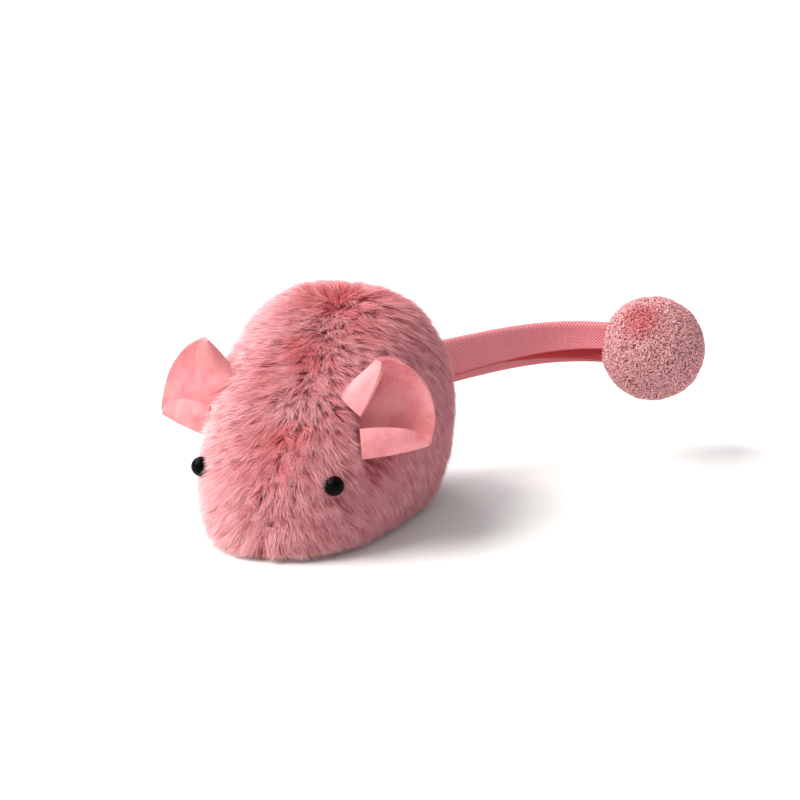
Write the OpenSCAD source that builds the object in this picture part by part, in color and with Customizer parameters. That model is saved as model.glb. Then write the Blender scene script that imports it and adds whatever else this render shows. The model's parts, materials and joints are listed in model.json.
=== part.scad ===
// Clockwork mouse: a wind-up toy with a fur cover over a plastic shell, felt ears,
// bead eyes and a woven tail that ends in a round tuft.
// +Z is up, the nose points to -Y, the axles lie along X and the wheels stand on z = 0.

/* [Fur cover] */
// Length over the pile, nose to rump
body_l = 79; // [70:1:100]
// Width over the pile
body_w = 52; // [50:1:66]
// Height of the back above the floor
body_h = 54.5; // [50:0.5:68]
// Depth of the pile and its backing
fur_depth = 6.6; // [4:0.1:7.2]
// Height of the cover's hem above the floor
hem_z = 2; // [1.5:0.1:2.6]
// Share of the half width by which the pile tucks in at the hem
hem_tuck = 0.22; // [0.1:0.01:0.25]

/* [Shell and base] */
// Wall of the moulded shell
shell_wall = 1.4; // [1:0.1:1.8]
// Gap between shell and cover backing
cover_gap = 0.3; // [0.1:0.05:0.6]
// Thickness of the base plate
base_t = 1.6; // [1.2:0.1:2.2]
// Gap between base plate and shell
base_gap = 0.3; // [0.15:0.05:0.6]
// Radius of a base screw's thread
screw_r = 0.9; // [0.7:0.05:1.1]

/* [Clockwork] */
// Gear module
gear_module = 0.5; // [0.42:0.01:0.6]
// Teeth on the barrel's great wheel
great_teeth = 40; // [36:1:42]
// Teeth on the idler's pinion and on the axle's pinion
pinion_teeth = 10; // [10:1:12]
// Teeth on the idler's wheel
idler_teeth = 32; // [28:1:34]
// Thickness of a gear plate
plate_t = 1; // [0.8:0.1:1.2]
// Clear width between the gear plates
train_w = 15; // [14.5:0.1:16]
// Radius of the winding arbor
arbor_r = 1.5; // [1.25:0.05:1.9]
// Radial clearance of a shaft that runs in a hole
run_gap = 0.05; // [0.02:0.01:0.08]
// Teeth on the ratchet wheel
ratchet_teeth = 12; // [12:12:12]
// Turns in the mainspring
spring_turns = 6; // [4:1:8]

/* [Running gear] */
// Radius of a drive wheel over its tyre
wheel_r = 7.5; // [6.5:0.1:9]
// Width of a drive wheel
wheel_w = 3.5; // [2.5:0.1:4]
// Radius of the drive axle
axle_r = 1; // [0.8:0.05:1.3]
// Place of the drive axle behind the middle of the body
axle_y = 12; // [10:0.5:13]
// Place of the caster's pivot in front of the middle of the body
caster_y = 15.5; // [14.5:0.5:16]
// Radius of the caster's roller
roller_r = 3.6; // [3:0.1:4]
// Distance by which the roller trails its pivot
caster_trail = 2.4; // [1.8:0.1:2.8]

/* [Winding key] */
// Length of the key's wing along the arbor
wing_l = 8; // [6:0.5:10]
// Height of the key's wing across the arbor
wing_h = 13; // [10:0.5:14]
// Thickness of the key's wing
wing_t = 1.4; // [1:0.1:2]

/* [Ears and eyes] */
// Thickness of the felt
felt_t = 1.2; // [0.8:0.1:1.6]
// Reach of an ear out from the head
ear_reach = 16.5; // [10:0.5:18]
// Height of an ear at its widest
ear_h = 22; // [18:0.5:28]
// Radius of an eye bead
eye_r = 2.2; // [1.5:0.1:3]

/* [Tail] */
// Height of the near layer of the strap
strap_h = 9.5; // [8:0.5:12]
// Extra height of the far layer below the near one
strap_step = 3; // [0:0.5:4]
// Thickness of one layer of webbing
strap_t = 1.1; // [0.8:0.1:1.4]
// Height of the strap's fold above the floor
strap_z = 34; // [32:0.5:35]
// Diameter of the tuft at the tail's end
ball_d = 25; // [20:0.5:30]
// Swing of the tail to each side, in degrees
tail_swing = 15; // [0:1:18]

/* [Hidden] */
$fn = 48;

// Form of the body: where it is widest and highest, as a share of its half length, and the
// powers that shape it before and behind those places.
wide_at = 0.3;
wide_fore = 3.1;
wide_aft = 1.6;
high_at = 0.05;
high_fore = 1.13;
high_aft = 2.6;
belly = 0.35;
corner = 0.76;
roof = 0.7;
stations = 26;
across = 24;
pile_tip = 0.8;

shell_in = fur_depth + pile_tip + cover_gap;
cave_in = shell_in + shell_wall;
shell_hem = hem_z;
shell_tuck = 0.02;
base_z = shell_hem + 1.2;
base_top = base_z + base_t;
base_end_gap = 1.2;

// Gear train, as [y, z] places: axle, barrel above it, idler in front of both.
pressure = 25;
tooth_top = 0.8;
tooth_root = 1.05;
backlash = 0.12;
gear_t = 1.2;
great_t = 1.6;
great_r = gear_module * great_teeth / 2;
pinion_r = gear_module * pinion_teeth / 2;
idler_r = gear_module * idler_teeth / 2;
plate_in = train_w / 2;
plate_out = plate_in + plate_t;
axle_at = [axle_y, wheel_r];
barrel_at = axle_at + [6, 29] * gear_module;
idler_at = meet(barrel_at, axle_at, great_r + pinion_r, idler_r + pinion_r);
great_x = plate_in - 3.9;
drum_r = great_r - 1.8;
drum_wall = 0.8;
drum_x = -plate_in + 2.6;
lid_t = 0.8;
idler_x = -plate_in + 0.5;
sleeve_r = 1.6;
pin_r = 0.8;
bush_r = axle_r + 1;
pillar_r = 1.2;
pillar_neck = 0.7;
idler_turn = train_dir(barrel_at, idler_at);
output_turn = train_dir(idler_at, axle_at);
great_phase = 0;
idler_phase = mesh_phase(idler_turn, great_phase, great_teeth, pinion_teeth);
output_phase = mesh_phase(output_turn, idler_phase, idler_teeth, pinion_teeth);

// Ratchet and click, outside the right gear plate.
ratchet_x = -plate_out - 0.4;
ratchet_t = 1.4;
ratchet_root = arbor_r + 1.7;
ratchet_tip = ratchet_root + 1;
ratchet_from = 40;
click_arm = 6.5;
click_boss = 1.6;
click_at = ratchet_spot(click_arm, ratchet_root + 0.55);
rivet_r = 0.7;

// Wheels and caster.
wheel_x = plate_out + 1.5;
tyre_t = 1.1;
rim_r = wheel_r - tyre_t;
slot_gap = 0.9;
arch_gap = 0.35;
well_wall = 1.2;
well_r = caster_trail + roller_r + 1.2;
well_top = 2 * roller_r + 4.2;
roller_w = 3;
fork_t = 1.1;
fork_gap = 0.3;
arm_w = 2.8;

// Screws that hold the base plate to the shell: nose, rump and both flanks.
boss_r = 2.8;
boss_sink = 0.45;
cave_y = body_l / 2 - cave_in;
flank_x = (body_w / 2 - cave_in) * 0.975 - boss_r + boss_sink;
flank_y = -4;
BOSSES = [[0, boss_sink - cave_y + boss_r], [0, cave_y - boss_r + boss_sink - 0.25],
          [-flank_x, flank_y], [flank_x, flank_y]];
boss_h = 5;
pillar_gap = 1.4;
PILLARS = [idler_at + [-0.88, -0.68] * (idler_r + pillar_r),
           barrel_at + [0.76, -0.69] * (great_r + pillar_r + pillar_gap),
           barrel_at + [-1.02, 0.5] * (great_r + pillar_r + pillar_gap)];

// Feet of the gear plates, in slots of the base plate.
foot_l = 3;
PLATE_FEET = [idler_at.x - idler_r + 2.5, axle_y + wheel_r + 3.5];

// Face places: each as [share of the half length, share of the way from ridge to hem].
EYE = [-0.78, 0.57];
EAR_LOW = [-0.57, 0.54];
EAR_HIGH = [-0.54, 0.26];
ear_back = 26;
ear_lift = 0.3;
ear_cup = -3;
ear_sink = 1.6;
eye_stem_r = 0.7;

// Tail: the strap's run in plan from the pivot, then the tuft.
tail_at = [0, cave_y + 0.4];
ROOT_WAY = [0.635, 0.772];
ROUTE = [tail_at + 4.2 * ROOT_WAY, tail_at + [15.8, 20], tail_at + [20, 48], tail_at + [43.5, 47]];
ball_at = tail_at + [54, 48];
layer_gap = 0.7;
core_t = 0.4;
strap_top = strap_z;
strap_low = strap_top - strap_t - strap_h;
ball_z = strap_top - 5;
lug_r = 3;
lug_t = 1.6;
lug_l = 6.2;
plug_h = 8;
plug_z = strap_top - 1.5 - plug_h;

// ---- helpers ----

// Half width or height along the body as a share of the largest.
function swell(t, peak, fore, aft) =
    let (u = t < peak ? (peak - t) / (peak + 1) : (t - peak) / (1 - peak))
    sqrt(max(0, 1 - pow(min(u, 1), t < peak ? fore : aft)));

// Point of the body form: inset below the pile's surface, t from nose (-1) to rump (1),
// g from the right hem (-1) over the ridge (0) to the left hem (1).
function form_pt(inset, hem, tuck, t, g) =
    let (half_w = (body_w / 2 - inset) * swell(t, wide_at, wide_fore, wide_aft),
         top = hem + (body_h - inset - hem) * swell(t, high_at, high_fore, high_aft),
         mid = hem + belly * (top - hem),
         y = t * (body_l / 2 - inset),
         v = abs(g),
         a = 90 * (1 - min(v / roof, 1)),
         k = max(0, (v - roof) / (1 - roof)))
    v <= roof
        ? [sign(g) * half_w * pow(cos(a), corner), y, mid + (top - mid) * pow(sin(a), corner)]
        : [sign(g) * half_w * (1 - tuck * k * k), y, mid + (hem - mid) * k];

// Rings of points from nose to rump, without the two end points.
function form_grid(inset, hem, tuck) =
    [for (i = [1:stations - 1], j = [0:across])
        form_pt(inset, hem, tuck, -cos(180 * i / stations), 2 * j / across - 1)];

// Centre of a circle pair: the point at distance ra from a and rb from b, in front of both.
function meet(a, b, ra, rb) =
    let (d = norm(b - a), e = (b - a) / d, k = (ra * ra - rb * rb + d * d) / (2 * d))
    a + k * e + sqrt(ra * ra - k * k) * [e.y, -e.x];

// Direction from one gear centre to the next, in degrees.
function train_dir(a, b) = atan2(b.y - a.y, b.x - a.x);

// Turn of the next gear that puts its gap on the tooth of the one before.
function mesh_phase(way, phase, teeth, next_teeth) =
    let (pitch = 360 / teeth, next_pitch = 360 / next_teeth, f = (way - phase) / pitch)
    way + 180 - next_pitch * (0.5 - (f - floor(f)));

// Point of an involute flank at radius r.
function inv_deg(r, base) = r <= base ? 0 : let (a = acos(base / r)) tan(a) * 180 / PI - a;

function polar(r, a) = [r * cos(a), r * sin(a)];

// Outline of a gear.
function gear_pts(teeth, phase) =
    let (r = gear_module * teeth / 2,
         base = r * cos(pressure),
         root = r - tooth_root * gear_module,
         tip = r + tooth_top * gear_module,
         half = 90 / teeth - backlash / 4 / r * 180 / PI + inv_deg(r, base),
         low = max(base, root),
         radii = [for (k = [0:3]) low + (tip - low) * k / 3])
    [for (i = [0:teeth - 1]) let (mid = phase + 360 * i / teeth) each concat(
        [polar(root, mid - half)],
        [for (q = radii) polar(q, mid - half + inv_deg(q, base))],
        [for (k = [3:-1:0]) polar(radii[k], mid + half - inv_deg(radii[k], base))],
        [polar(root, mid + half)])];

// Ratchet outline: each tooth has a radial face and a long slope.
function ratchet_pts() =
    [for (i = [0:ratchet_teeth - 1]) let (a = ratchet_from + 360 * i / ratchet_teeth)
        each [polar(ratchet_tip, a - 1), polar(ratchet_root, a)]];

// A spot by its distance along the tangent and the radius at the first tooth, in [y, z].
function ratchet_spot(along, out) =
    barrel_at + out * polar(1, ratchet_from) + along * polar(1, ratchet_from + 90);

// Cubic curve of the strap and its unit sideways direction, in plan.
function bend(p, t) =
    pow(1 - t, 3) * p[0] + 3 * t * pow(1 - t, 2) * p[1] + 3 * t * t * (1 - t) * p[2] + pow(t, 3) * p[3];
function side_way(p, t) =
    let (d = bend(p, t + 0.005) - bend(p, t - 0.005)) [-d.y, d.x] / norm(d);

// Band of the given thickness whose middle lies off to one side of the strap's run.
function band(off, thick, from, to, n) =
    concat([for (i = [0:n]) let (t = from + (to - from) * i / n)
                bend(ROUTE, t) + (off + thick / 2) * side_way(ROUTE, t)],
           [for (i = [n:-1:0]) let (t = from + (to - from) * i / n)
                bend(ROUTE, t) + (off - thick / 2) * side_way(ROUTE, t)]);

// Closed skin between an outer and an inner form that share the height of their hem.
module skin(out_in, out_tuck, in_in, in_tuck, hem) {
    row = across + 1;
    rings = stations - 1;
    outer = form_grid(out_in, hem, out_tuck);
    inner = form_grid(in_in, hem, in_tuck);
    poles = [form_pt(out_in, hem, 0, -1, 0), form_pt(out_in, hem, 0, 1, 0),
             form_pt(in_in, hem, 0, -1, 0), form_pt(in_in, hem, 0, 1, 0)];
    n = rings * row;
    nose = 2 * n;
    rump = 2 * n + 1;
    last = (rings - 1) * row;
    polyhedron(concat(outer, inner, poles), concat(
        [for (i = [0:rings - 2], j = [0:across - 1]) let (a = i * row + j)
            each [[a, a + row, a + 1], [a + 1, a + row, a + row + 1]]],
        [for (j = [0:across - 1]) [nose, j, j + 1]],
        [for (j = [0:across - 1]) [rump, last + j + 1, last + j]],
        [for (i = [0:rings - 2], j = [0:across - 1]) let (a = n + i * row + j)
            each [[a, a + 1, a + row], [a + 1, a + row + 1, a + row]]],
        [for (j = [0:across - 1]) [nose + 2, n + j + 1, n + j]],
        [for (j = [0:across - 1]) [rump + 2, n + last + j, n + last + j + 1]],
        [for (i = [0:rings - 2]) let (a = i * row)
            each [[a, a + n, a + row], [a + row, a + n, a + n + row]]],
        [for (i = [0:rings - 2]) let (a = i * row + across)
            each [[a, a + row, a + n], [a + row, a + n + row, a + n]]],
        [[nose, nose + 2, 0], [0, nose + 2, n]],
        [[nose, across, nose + 2], [across, across + n, nose + 2]],
        [[rump, last, rump + 2], [last, last + n, rump + 2]],
        [[rump, rump + 2, last + across], [last + across, rump + 2, last + across + n]]));
}

// Stands its child's z axis along a direction at a point.
module aim(at, way) {
    translate(at) rotate([0, acos(way.z / norm(way)), atan2(way.y, way.x)]) children();
}

// Rod along X between two stations, at [y, z].
module rod(at, x0, x1, r) {
    translate([x0, at.x, at.y]) rotate([0, 90, 0]) cylinder(r = r, h = x1 - x0);
}

// Turns a profile drawn in [y, z] into a slab between two stations along X.
module slab(x0, x1) {
    translate([x0, 0, 0]) rotate([90, 0, 90]) linear_extrude(x1 - x0) children();
}

module gear(at, x0, thick, teeth, phase) {
    slab(x0, x0 + thick) translate(at) polygon(gear_pts(teeth, phase));
}

function eye_pt(s) = form_pt(pile_tip, hem_z, hem_tuck, EYE[0], s * EYE[1]);
function eye_way(s) = [-s * 0.8, 0.6, -0.05];

module eye_stem(s) {
    aim(eye_pt(s), eye_way(s)) cylinder(r = eye_stem_r, h = fur_depth + 3);
}

// ---- soft pieces ----

module fur_cover() {
    color("lightpink") difference() {
        skin(pile_tip, hem_tuck, pile_tip + fur_depth, shell_tuck, hem_z);
        rod(barrel_at, -body_w, 0, arbor_r + 1.4);
        translate([tail_at.x, tail_at.y, plug_z - lug_t - 1]) {
            cylinder(r = lug_r + 1.2, h = plug_h + 2 * lug_t + 2);
            translate([-lug_r - 0.4, -lug_l, 0]) {
                cube([2 * lug_r + 0.8, lug_l, plug_h + 2 * lug_t + 2]);
            }
        }
        tail_slot();
        for (s = [-1, 1]) {
            eye_stem(s);
            translate(eye_pt(s)) sphere(r = eye_r);
        }
    }
}

// Fan-shaped way out through which the strap swings.
module tail_slot() {
    mid = atan2(ROOT_WAY.x, ROOT_WAY.y);
    low = strap_low - strap_step - 0.6;
    translate([tail_at.x, tail_at.y, low]) {
        linear_extrude(strap_top + 0.6 - low) {
            polygon(concat([[0, 0]], [for (k = [-1:0.5:1]) let (a = mid + k * (tail_swing + 23))
                22 * [sin(a), cos(a)]]));
        }
    }
}

// Felt ear as a cupped leaf: u runs out from the head, v from the low to the high end.
function ear_pt(s, u, v, back) =
    let (low = form_pt(pile_tip + ear_sink, hem_z, hem_tuck, EAR_LOW[0], s * EAR_LOW[1]),
         high = form_pt(pile_tip + ear_sink, hem_z, hem_tuck, EAR_HIGH[0], s * EAR_HIGH[1]),
         up = (high - low) / norm(high - low),
         out = [s * cos(ear_back), sin(ear_back), ear_lift],
         front = [-s * sin(ear_back), -cos(ear_back), 0],
         w = (u - 0.42) / 0.58,
         share = u < 0.42 ? 0.8 + 0.2 * sin(90 * u / 0.42) : pow(max(0.01, 1 - pow(w, 2.4)), 0.42),
         half = ear_h / 2 * share)
    (low + high) / 2 + u * ear_reach * out + v * half * up
        + (ear_cup * u * (0.5 - v * v) - back * felt_t) * front;

module ear(s) {
    nu = 10;
    nv = 12;
    row = nv + 1;
    n = (nu + 1) * row;
    pts = [for (k = [0, 1], i = [0:nu], j = [0:nv]) ear_pt(s, sin(90 * i / nu), 2 * j / nv - 1, k)];
    flat = concat(
        [for (i = [0:nu - 1], j = [0:nv - 1]) let (a = i * row + j)
            each [[a, a + 1, a + row], [a + 1, a + row + 1, a + row],
                  [a + n, a + n + row, a + n + 1], [a + n + 1, a + n + row, a + n + row + 1]]],
        [for (i = [0:nu - 1]) let (a = i * row, b = a + nv)
            each [[a, a + row, a + n], [a + row, a + n + row, a + n],
                  [b, b + n, b + row], [b + row, b + n, b + n + row]]],
        [for (j = [0:nv - 1]) let (a = j, b = nu * row + j)
            each [[a, a + n, a + 1], [a + 1, a + n, a + n + 1],
                  [b, b + 1, b + n], [b + 1, b + n + 1, b + n]]]);
    polyhedron(pts, s > 0 ? flat : [for (f = flat) [f[0], f[2], f[1]]]);
}

module ear_left() {
    color("salmon") ear(1);
}

module ear_right() {
    color("salmon") ear(-1);
}

module eye(s) {
    translate(eye_pt(s)) sphere(r = eye_r);
    eye_stem(s);
}

module eye_left() {
    color("black") eye(1);
}

module eye_right() {
    color("black") eye(-1);
}

// ---- shell and base ----

module screw_ways(r, z0, z1) {
    for (p = BOSSES) translate([p.x, p.y, z0]) cylinder(r = r, h = z1 - z0);
}

module body_shell() {
    arch_x = wheel_x + wheel_w + arch_gap;
    color("gainsboro") difference() {
        union() {
            skin(shell_in, shell_tuck, cave_in, shell_tuck, shell_hem);
            screw_ways(boss_r, base_top, base_top + boss_h);
            for (z = [plug_z - lug_t - 0.1, plug_z + plug_h + 0.1]) {
                translate([tail_at.x, tail_at.y, z]) cylinder(r = lug_r, h = lug_t);
                translate([tail_at.x - lug_r, tail_at.y - lug_l, z]) cube([2 * lug_r, lug_l, lug_t]);
            }
        }
        screw_ways(screw_r, base_z, base_top + boss_h - 1);
        rod(axle_at, -arch_x, arch_x, wheel_r + arch_gap);
        rod(barrel_at, -body_w, -plate_out, arbor_r + 0.8);
        translate([tail_at.x, tail_at.y, plug_z - lug_t - 0.1]) {
            cylinder(r = pin_r, h = plug_h + 2 * lug_t + 0.2);
        }
        translate([tail_at.x, tail_at.y, plug_z - 0.1]) cylinder(r = lug_r + 0.8, h = plug_h + 0.2);
        for (s = [-1, 1]) eye_stem(s);
    }
}

// Plan of the base plate: the shell's inside at the hem, less the gap.
function base_outline() =
    let (n = 40, inset = cave_in + base_gap)
    [for (i = [0:2 * n - 1])
        let (s = i < n ? 1 : -1, k = i % n, t = -s * cos(180 * (k + 0.5) / n),
             p = form_pt(inset, shell_hem, shell_tuck, t, s))
        [p.x, p.y * (1 - base_end_gap / cave_y)]];

module base_plate() {
    color("dimgray") difference() {
        union() {
            translate([0, 0, base_z]) linear_extrude(base_t) polygon(base_outline());
            translate([0, -caster_y, base_z]) {
                cylinder(r = well_r + well_wall, h = well_top + well_wall - base_z);
            }
            translate([0, -caster_y, well_top]) cylinder(r = 2.4, h = 4);
        }
        translate([0, -caster_y, base_z - 1]) cylinder(r = well_r, h = well_top - base_z + 1);
        translate([0, -caster_y, base_z]) cylinder(r = pin_r + 0.4 + run_gap, h = well_top + 5);
        for (s = [-1, 1]) wheel_slot(s);
        rod(axle_at, idler_x - 0.8, idler_x + gear_t + 1, pinion_r + tooth_top * gear_module + 0.5);
        screw_ways(screw_r + 0.15, base_z - 1, base_top + 1);
        screw_ways(screw_r + 1, base_z - 1, base_z + 0.5);
        for (s = [-1, 1], y = PLATE_FEET) {
            translate([s * (plate_in + plate_t / 2), y, base_z]) {
                cube([plate_t, foot_l, 3 * base_t], center = true);
            }
        }
    }
}

module wheel_slot(s) {
    drop = wheel_r - base_z;
    half = sqrt(wheel_r * wheel_r - drop * drop) + slot_gap + base_t;
    x = wheel_x + wheel_w / 2;
    translate([s * x, axle_y, base_z]) {
        cube([wheel_w + 2 * slot_gap, 2 * half, 4 * base_t], center = true);
    }
}

module base_screws() {
    color("silver") {
        screw_ways(screw_r, base_z + 0.5, base_top + boss_h - 1.5);
        screw_ways(screw_r + 0.9, base_z, base_z + 0.5);
    }
}

// ---- gear frame ----

module gear_plate(s) {
    x0 = s > 0 ? plate_in : -plate_out;
    tail_y = barrel_at.x + great_r + 0.6;
    nose_y = idler_at.x - idler_r - 1.5;
    top_z = barrel_at.y + great_r + 0.6;
    cut = great_r * 0.62;
    difference() {
        union() {
            slab(x0, x0 + plate_t) polygon([[nose_y, base_top], [tail_y, base_top],
                [tail_y, top_z - 2 * cut], [tail_y - cut, top_z],
                [barrel_at.x - cut, top_z], [nose_y, idler_at.y + idler_r * 0.4]]);
            for (y = PLATE_FEET) {
                translate([x0, y - foot_l / 2, base_z]) cube([plate_t, foot_l, base_t + 0.5]);
            }
        }
        rod(barrel_at, x0 - 1, x0 + plate_t + 1, arbor_r + run_gap);
        rod(axle_at, x0 - 1, x0 + plate_t + 1, bush_r);
        rod(idler_at, x0 - 1, x0 + plate_t + 1, pin_r);
        for (p = PILLARS) rod(p, x0 - 1, x0 + plate_t + 1, pillar_neck);
        if (s < 0) rod(click_at, x0 - 1, x0 + plate_t + 1, rivet_r);
    }
}

module gear_plate_left() {
    color("silver") gear_plate(1);
}

module gear_plate_right() {
    color("silver") gear_plate(-1);
}

module plate_pillars() {
    color("goldenrod") for (p = PILLARS) {
        rod(p, -plate_in, plate_in, pillar_r);
        rod(p, -plate_out - 0.3, plate_out + 0.3, pillar_neck);
    }
}

module axle_bushes() {
    color("goldenrod") for (s = [-1, 1]) difference() {
        union() {
            rod(axle_at, s > 0 ? plate_in : -plate_out, s > 0 ? plate_out : -plate_in, bush_r);
            rod(axle_at, s > 0 ? plate_out : -plate_out - 0.5,
                s > 0 ? plate_out + 0.5 : -plate_out, bush_r + 0.7);
        }
        rod(axle_at, -wheel_x, wheel_x, axle_r + run_gap);
    }
}

module idler_pin() {
    color("silver") rod(idler_at, -plate_out - 0.3, plate_out + 0.3, pin_r);
}

module click_pin() {
    color("silver") {
        rod(click_at, ratchet_x - ratchet_t - 0.1, -plate_in, rivet_r);
        rod(click_at, ratchet_x - ratchet_t - 0.6, ratchet_x - ratchet_t - 0.1, rivet_r + 0.6);
    }
}

// Leaf spring that bears on the back of the click.
module click_spring() {
    foot = ratchet_spot(click_arm - 3.4, ratchet_tip + 4.1);
    tip = ratchet_spot(1.6, ratchet_tip + 0.66);
    way = (tip - foot) / norm(tip - foot);
    side = [-way.y, way.x] * 0.15;
    color("silver") {
        slab(ratchet_x - 1, ratchet_x - 0.4) {
            polygon([foot - side, foot + side, tip + side, tip - side]);
        }
        rod(foot, ratchet_x - 1, -plate_out, 0.6);
    }
}

// ---- winding group ----

module key_arbor() {
    color("silver") rod(barrel_at, -body_w / 2 - 3.2, plate_out + 0.6, arbor_r);
}

module ratchet_wheel() {
    color("silver") difference() {
        slab(ratchet_x - ratchet_t, ratchet_x) translate(barrel_at) polygon(ratchet_pts());
        rod(barrel_at, ratchet_x - ratchet_t - 1, ratchet_x + 1, arbor_r);
    }
}

module winding_key() {
    hub_x = -body_w / 2 - 0.9;
    wing_x = -body_w / 2 - 3.5;
    color("silver") difference() {
        union() {
            rod(barrel_at, wing_x, hub_x, arbor_r + 1);
            slab(wing_x - wing_l, wing_x) {
                translate(barrel_at) square([wing_t, wing_h - wing_l + 1], center = true);
            }
            for (s = [-1, 1]) {
                translate([wing_x - wing_l / 2, barrel_at.x, barrel_at.y + s * (wing_h - wing_l) / 2]) {
                    rotate([90, 0, 0]) cylinder(d = wing_l, h = wing_t, center = true);
                }
            }
        }
        rod(barrel_at, wing_x + 0.3, 0, arbor_r);
        for (s = [-1, 1]) {
            translate([wing_x - wing_l / 2, barrel_at.x, barrel_at.y + s * wing_h * 0.26]) {
                rotate([90, 0, 0]) cylinder(r = 1.2, h = 4 * wing_t, center = true);
            }
        }
    }
}

module click() {
    under = ratchet_root + 0.22;
    x0 = ratchet_x - ratchet_t + 0.1;
    x1 = ratchet_x - 0.1;
    color("silver") difference() {
        union() {
            slab(x0, x1) polygon([ratchet_spot(0.09, under), ratchet_spot(2.35, ratchet_root + 0.85),
                ratchet_spot(click_arm - 0.5, ratchet_root - 0.8),
                ratchet_spot(click_arm - 0.2, ratchet_root + 2.05),
                ratchet_spot(0.12, ratchet_tip + 0.35)]);
            rod(click_at, x0, x1, click_boss);
        }
        rod(click_at, -body_w, 0, rivet_r + run_gap);
    }
}

// ---- barrel ----

module spring_barrel() {
    color("ivory") difference() {
        union() {
            gear(barrel_at, great_x, great_t, great_teeth, great_phase);
            rod(barrel_at, drum_x, great_x, drum_r);
            rod(barrel_at, great_x, great_x + great_t + 0.8, arbor_r + 1.2);
        }
        rod(barrel_at, drum_x - 1, great_x - 0.8, drum_r - drum_wall);
        rod(barrel_at, drum_x - 1, plate_in, arbor_r + run_gap);
    }
}

module barrel_lid() {
    color("ivory") difference() {
        rod(barrel_at, drum_x, drum_x + lid_t, drum_r - drum_wall);
        rod(barrel_at, drum_x - 1, drum_x + 1, arbor_r + run_gap);
    }
}

// Flat spiral inside the barrel.
module mainspring() {
    inner = arbor_r + 0.35;
    outer = drum_r - drum_wall - 0.15;
    half = 0.13;
    n = spring_turns * 20;
    function spiral(off) = [for (i = [0:n]) polar(inner + (outer - inner) * i / n + off, i * 18)];
    back = spiral(half);
    color("slategray") slab(drum_x + lid_t + 0.3, great_x - 1.1) {
        translate(barrel_at) polygon(concat(spiral(-half), [for (i = [n:-1:0]) back[i]]));
    }
}

// ---- idler and axle ----

module idler_gear() {
    color("goldenrod") difference() {
        union() {
            gear(idler_at, idler_x, gear_t, idler_teeth, idler_phase);
            gear(idler_at, great_x - 0.3, great_t + 0.6, pinion_teeth, idler_phase);
            rod(idler_at, idler_x, great_x - 0.3, sleeve_r);
        }
        rod(idler_at, -plate_in, plate_in, pin_r + run_gap);
    }
}

module drive_axle() {
    color("silver") rod(axle_at, -wheel_x - wheel_w - 0.4, wheel_x + wheel_w + 0.4, axle_r);
}

module output_pinion() {
    color("goldenrod") difference() {
        union() {
            gear(axle_at, idler_x - 0.2, gear_t + 0.4, pinion_teeth, output_phase);
            rod(axle_at, idler_x + gear_t + 0.2, idler_x + gear_t + 2.2, axle_r + 0.9);
        }
        rod(axle_at, -plate_in, plate_in, axle_r);
    }
}

module wheel(s) {
    x0 = s > 0 ? wheel_x : -wheel_x - wheel_w;
    difference() {
        union() {
            difference() {
                rod(axle_at, x0, x0 + wheel_w, rim_r);
                rod(axle_at, x0 - 1, x0 + wheel_w + 1, rim_r - 1);
            }
            rod(axle_at, x0 + wheel_w / 2 - 0.5, x0 + wheel_w / 2 + 0.5, rim_r - 0.5);
            rod(axle_at, x0 - 0.5, x0 + wheel_w, axle_r + 1.1);
        }
        rod(axle_at, x0 - 1, x0 + wheel_w + 1, axle_r);
        for (k = [0:4]) {
            rod(axle_at + polar(rim_r * 0.6, 72 * k), x0 - 1, x0 + wheel_w + 1, rim_r * 0.16);
        }
    }
}

module tyre(s) {
    x0 = s > 0 ? wheel_x : -wheel_x - wheel_w;
    translate([x0, axle_at.x, axle_at.y]) rotate([0, 90, 0]) rotate_extrude() {
        polygon([[rim_r, 0], [wheel_r - 0.4, 0], [wheel_r, 0.5],
                 [wheel_r, wheel_w - 0.5], [wheel_r - 0.4, wheel_w], [rim_r, wheel_w]]);
    }
}

module wheel_left() {
    color("ivory") wheel(1);
}

module wheel_right() {
    color("ivory") wheel(-1);
}

module tyre_left() {
    color("black") tyre(1);
}

module tyre_right() {
    color("black") tyre(-1);
}

// ---- caster ----

module caster_fork() {
    deck = 2 * roller_r + 0.8;
    half = roller_w / 2 + fork_gap;
    y0 = -caster_y;
    color("ivory") difference() {
        union() {
            translate([0, y0, deck]) cylinder(r = roller_r, h = fork_t);
            translate([-half - fork_t, y0, deck]) {
                cube([2 * (half + fork_t), caster_trail + arm_w / 2, fork_t]);
            }
            translate([0, y0, deck]) cylinder(r = pin_r + 0.4, h = well_top + 4.8 - deck);
            translate([0, y0, deck]) cylinder(r = 2.2, h = well_top - 0.3 - deck);
            translate([0, y0, well_top + 4.3]) cylinder(r = pin_r + 1, h = 0.7);
            for (s = [-1, 1]) {
                x = s * (half + fork_t / 2) - fork_t / 2;
                translate([x, y0 + caster_trail - arm_w / 2, roller_r - arm_w / 2]) {
                    cube([fork_t, arm_w, deck - roller_r + arm_w / 2 + fork_t]);
                }
            }
        }
        rod([y0 + caster_trail, roller_r], -half - 2, half + 2, pin_r);
    }
}

module caster_roller() {
    at = [caster_trail - caster_y, roller_r];
    color("dimgray") difference() {
        rod(at, -roller_w / 2, roller_w / 2, roller_r);
        rod(at, -roller_w, roller_w, pin_r + run_gap);
    }
}

module roller_pin() {
    half = roller_w / 2 + fork_gap + fork_t;
    color("silver") rod([caster_trail - caster_y, roller_r], -half, half, pin_r);
}

// ---- tail ----

module tail_pin() {
    color("silver") translate([tail_at.x, tail_at.y, plug_z - lug_t - 0.1]) {
        cylinder(r = pin_r, h = plug_h + 2 * lug_t + 0.2);
    }
}

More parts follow.
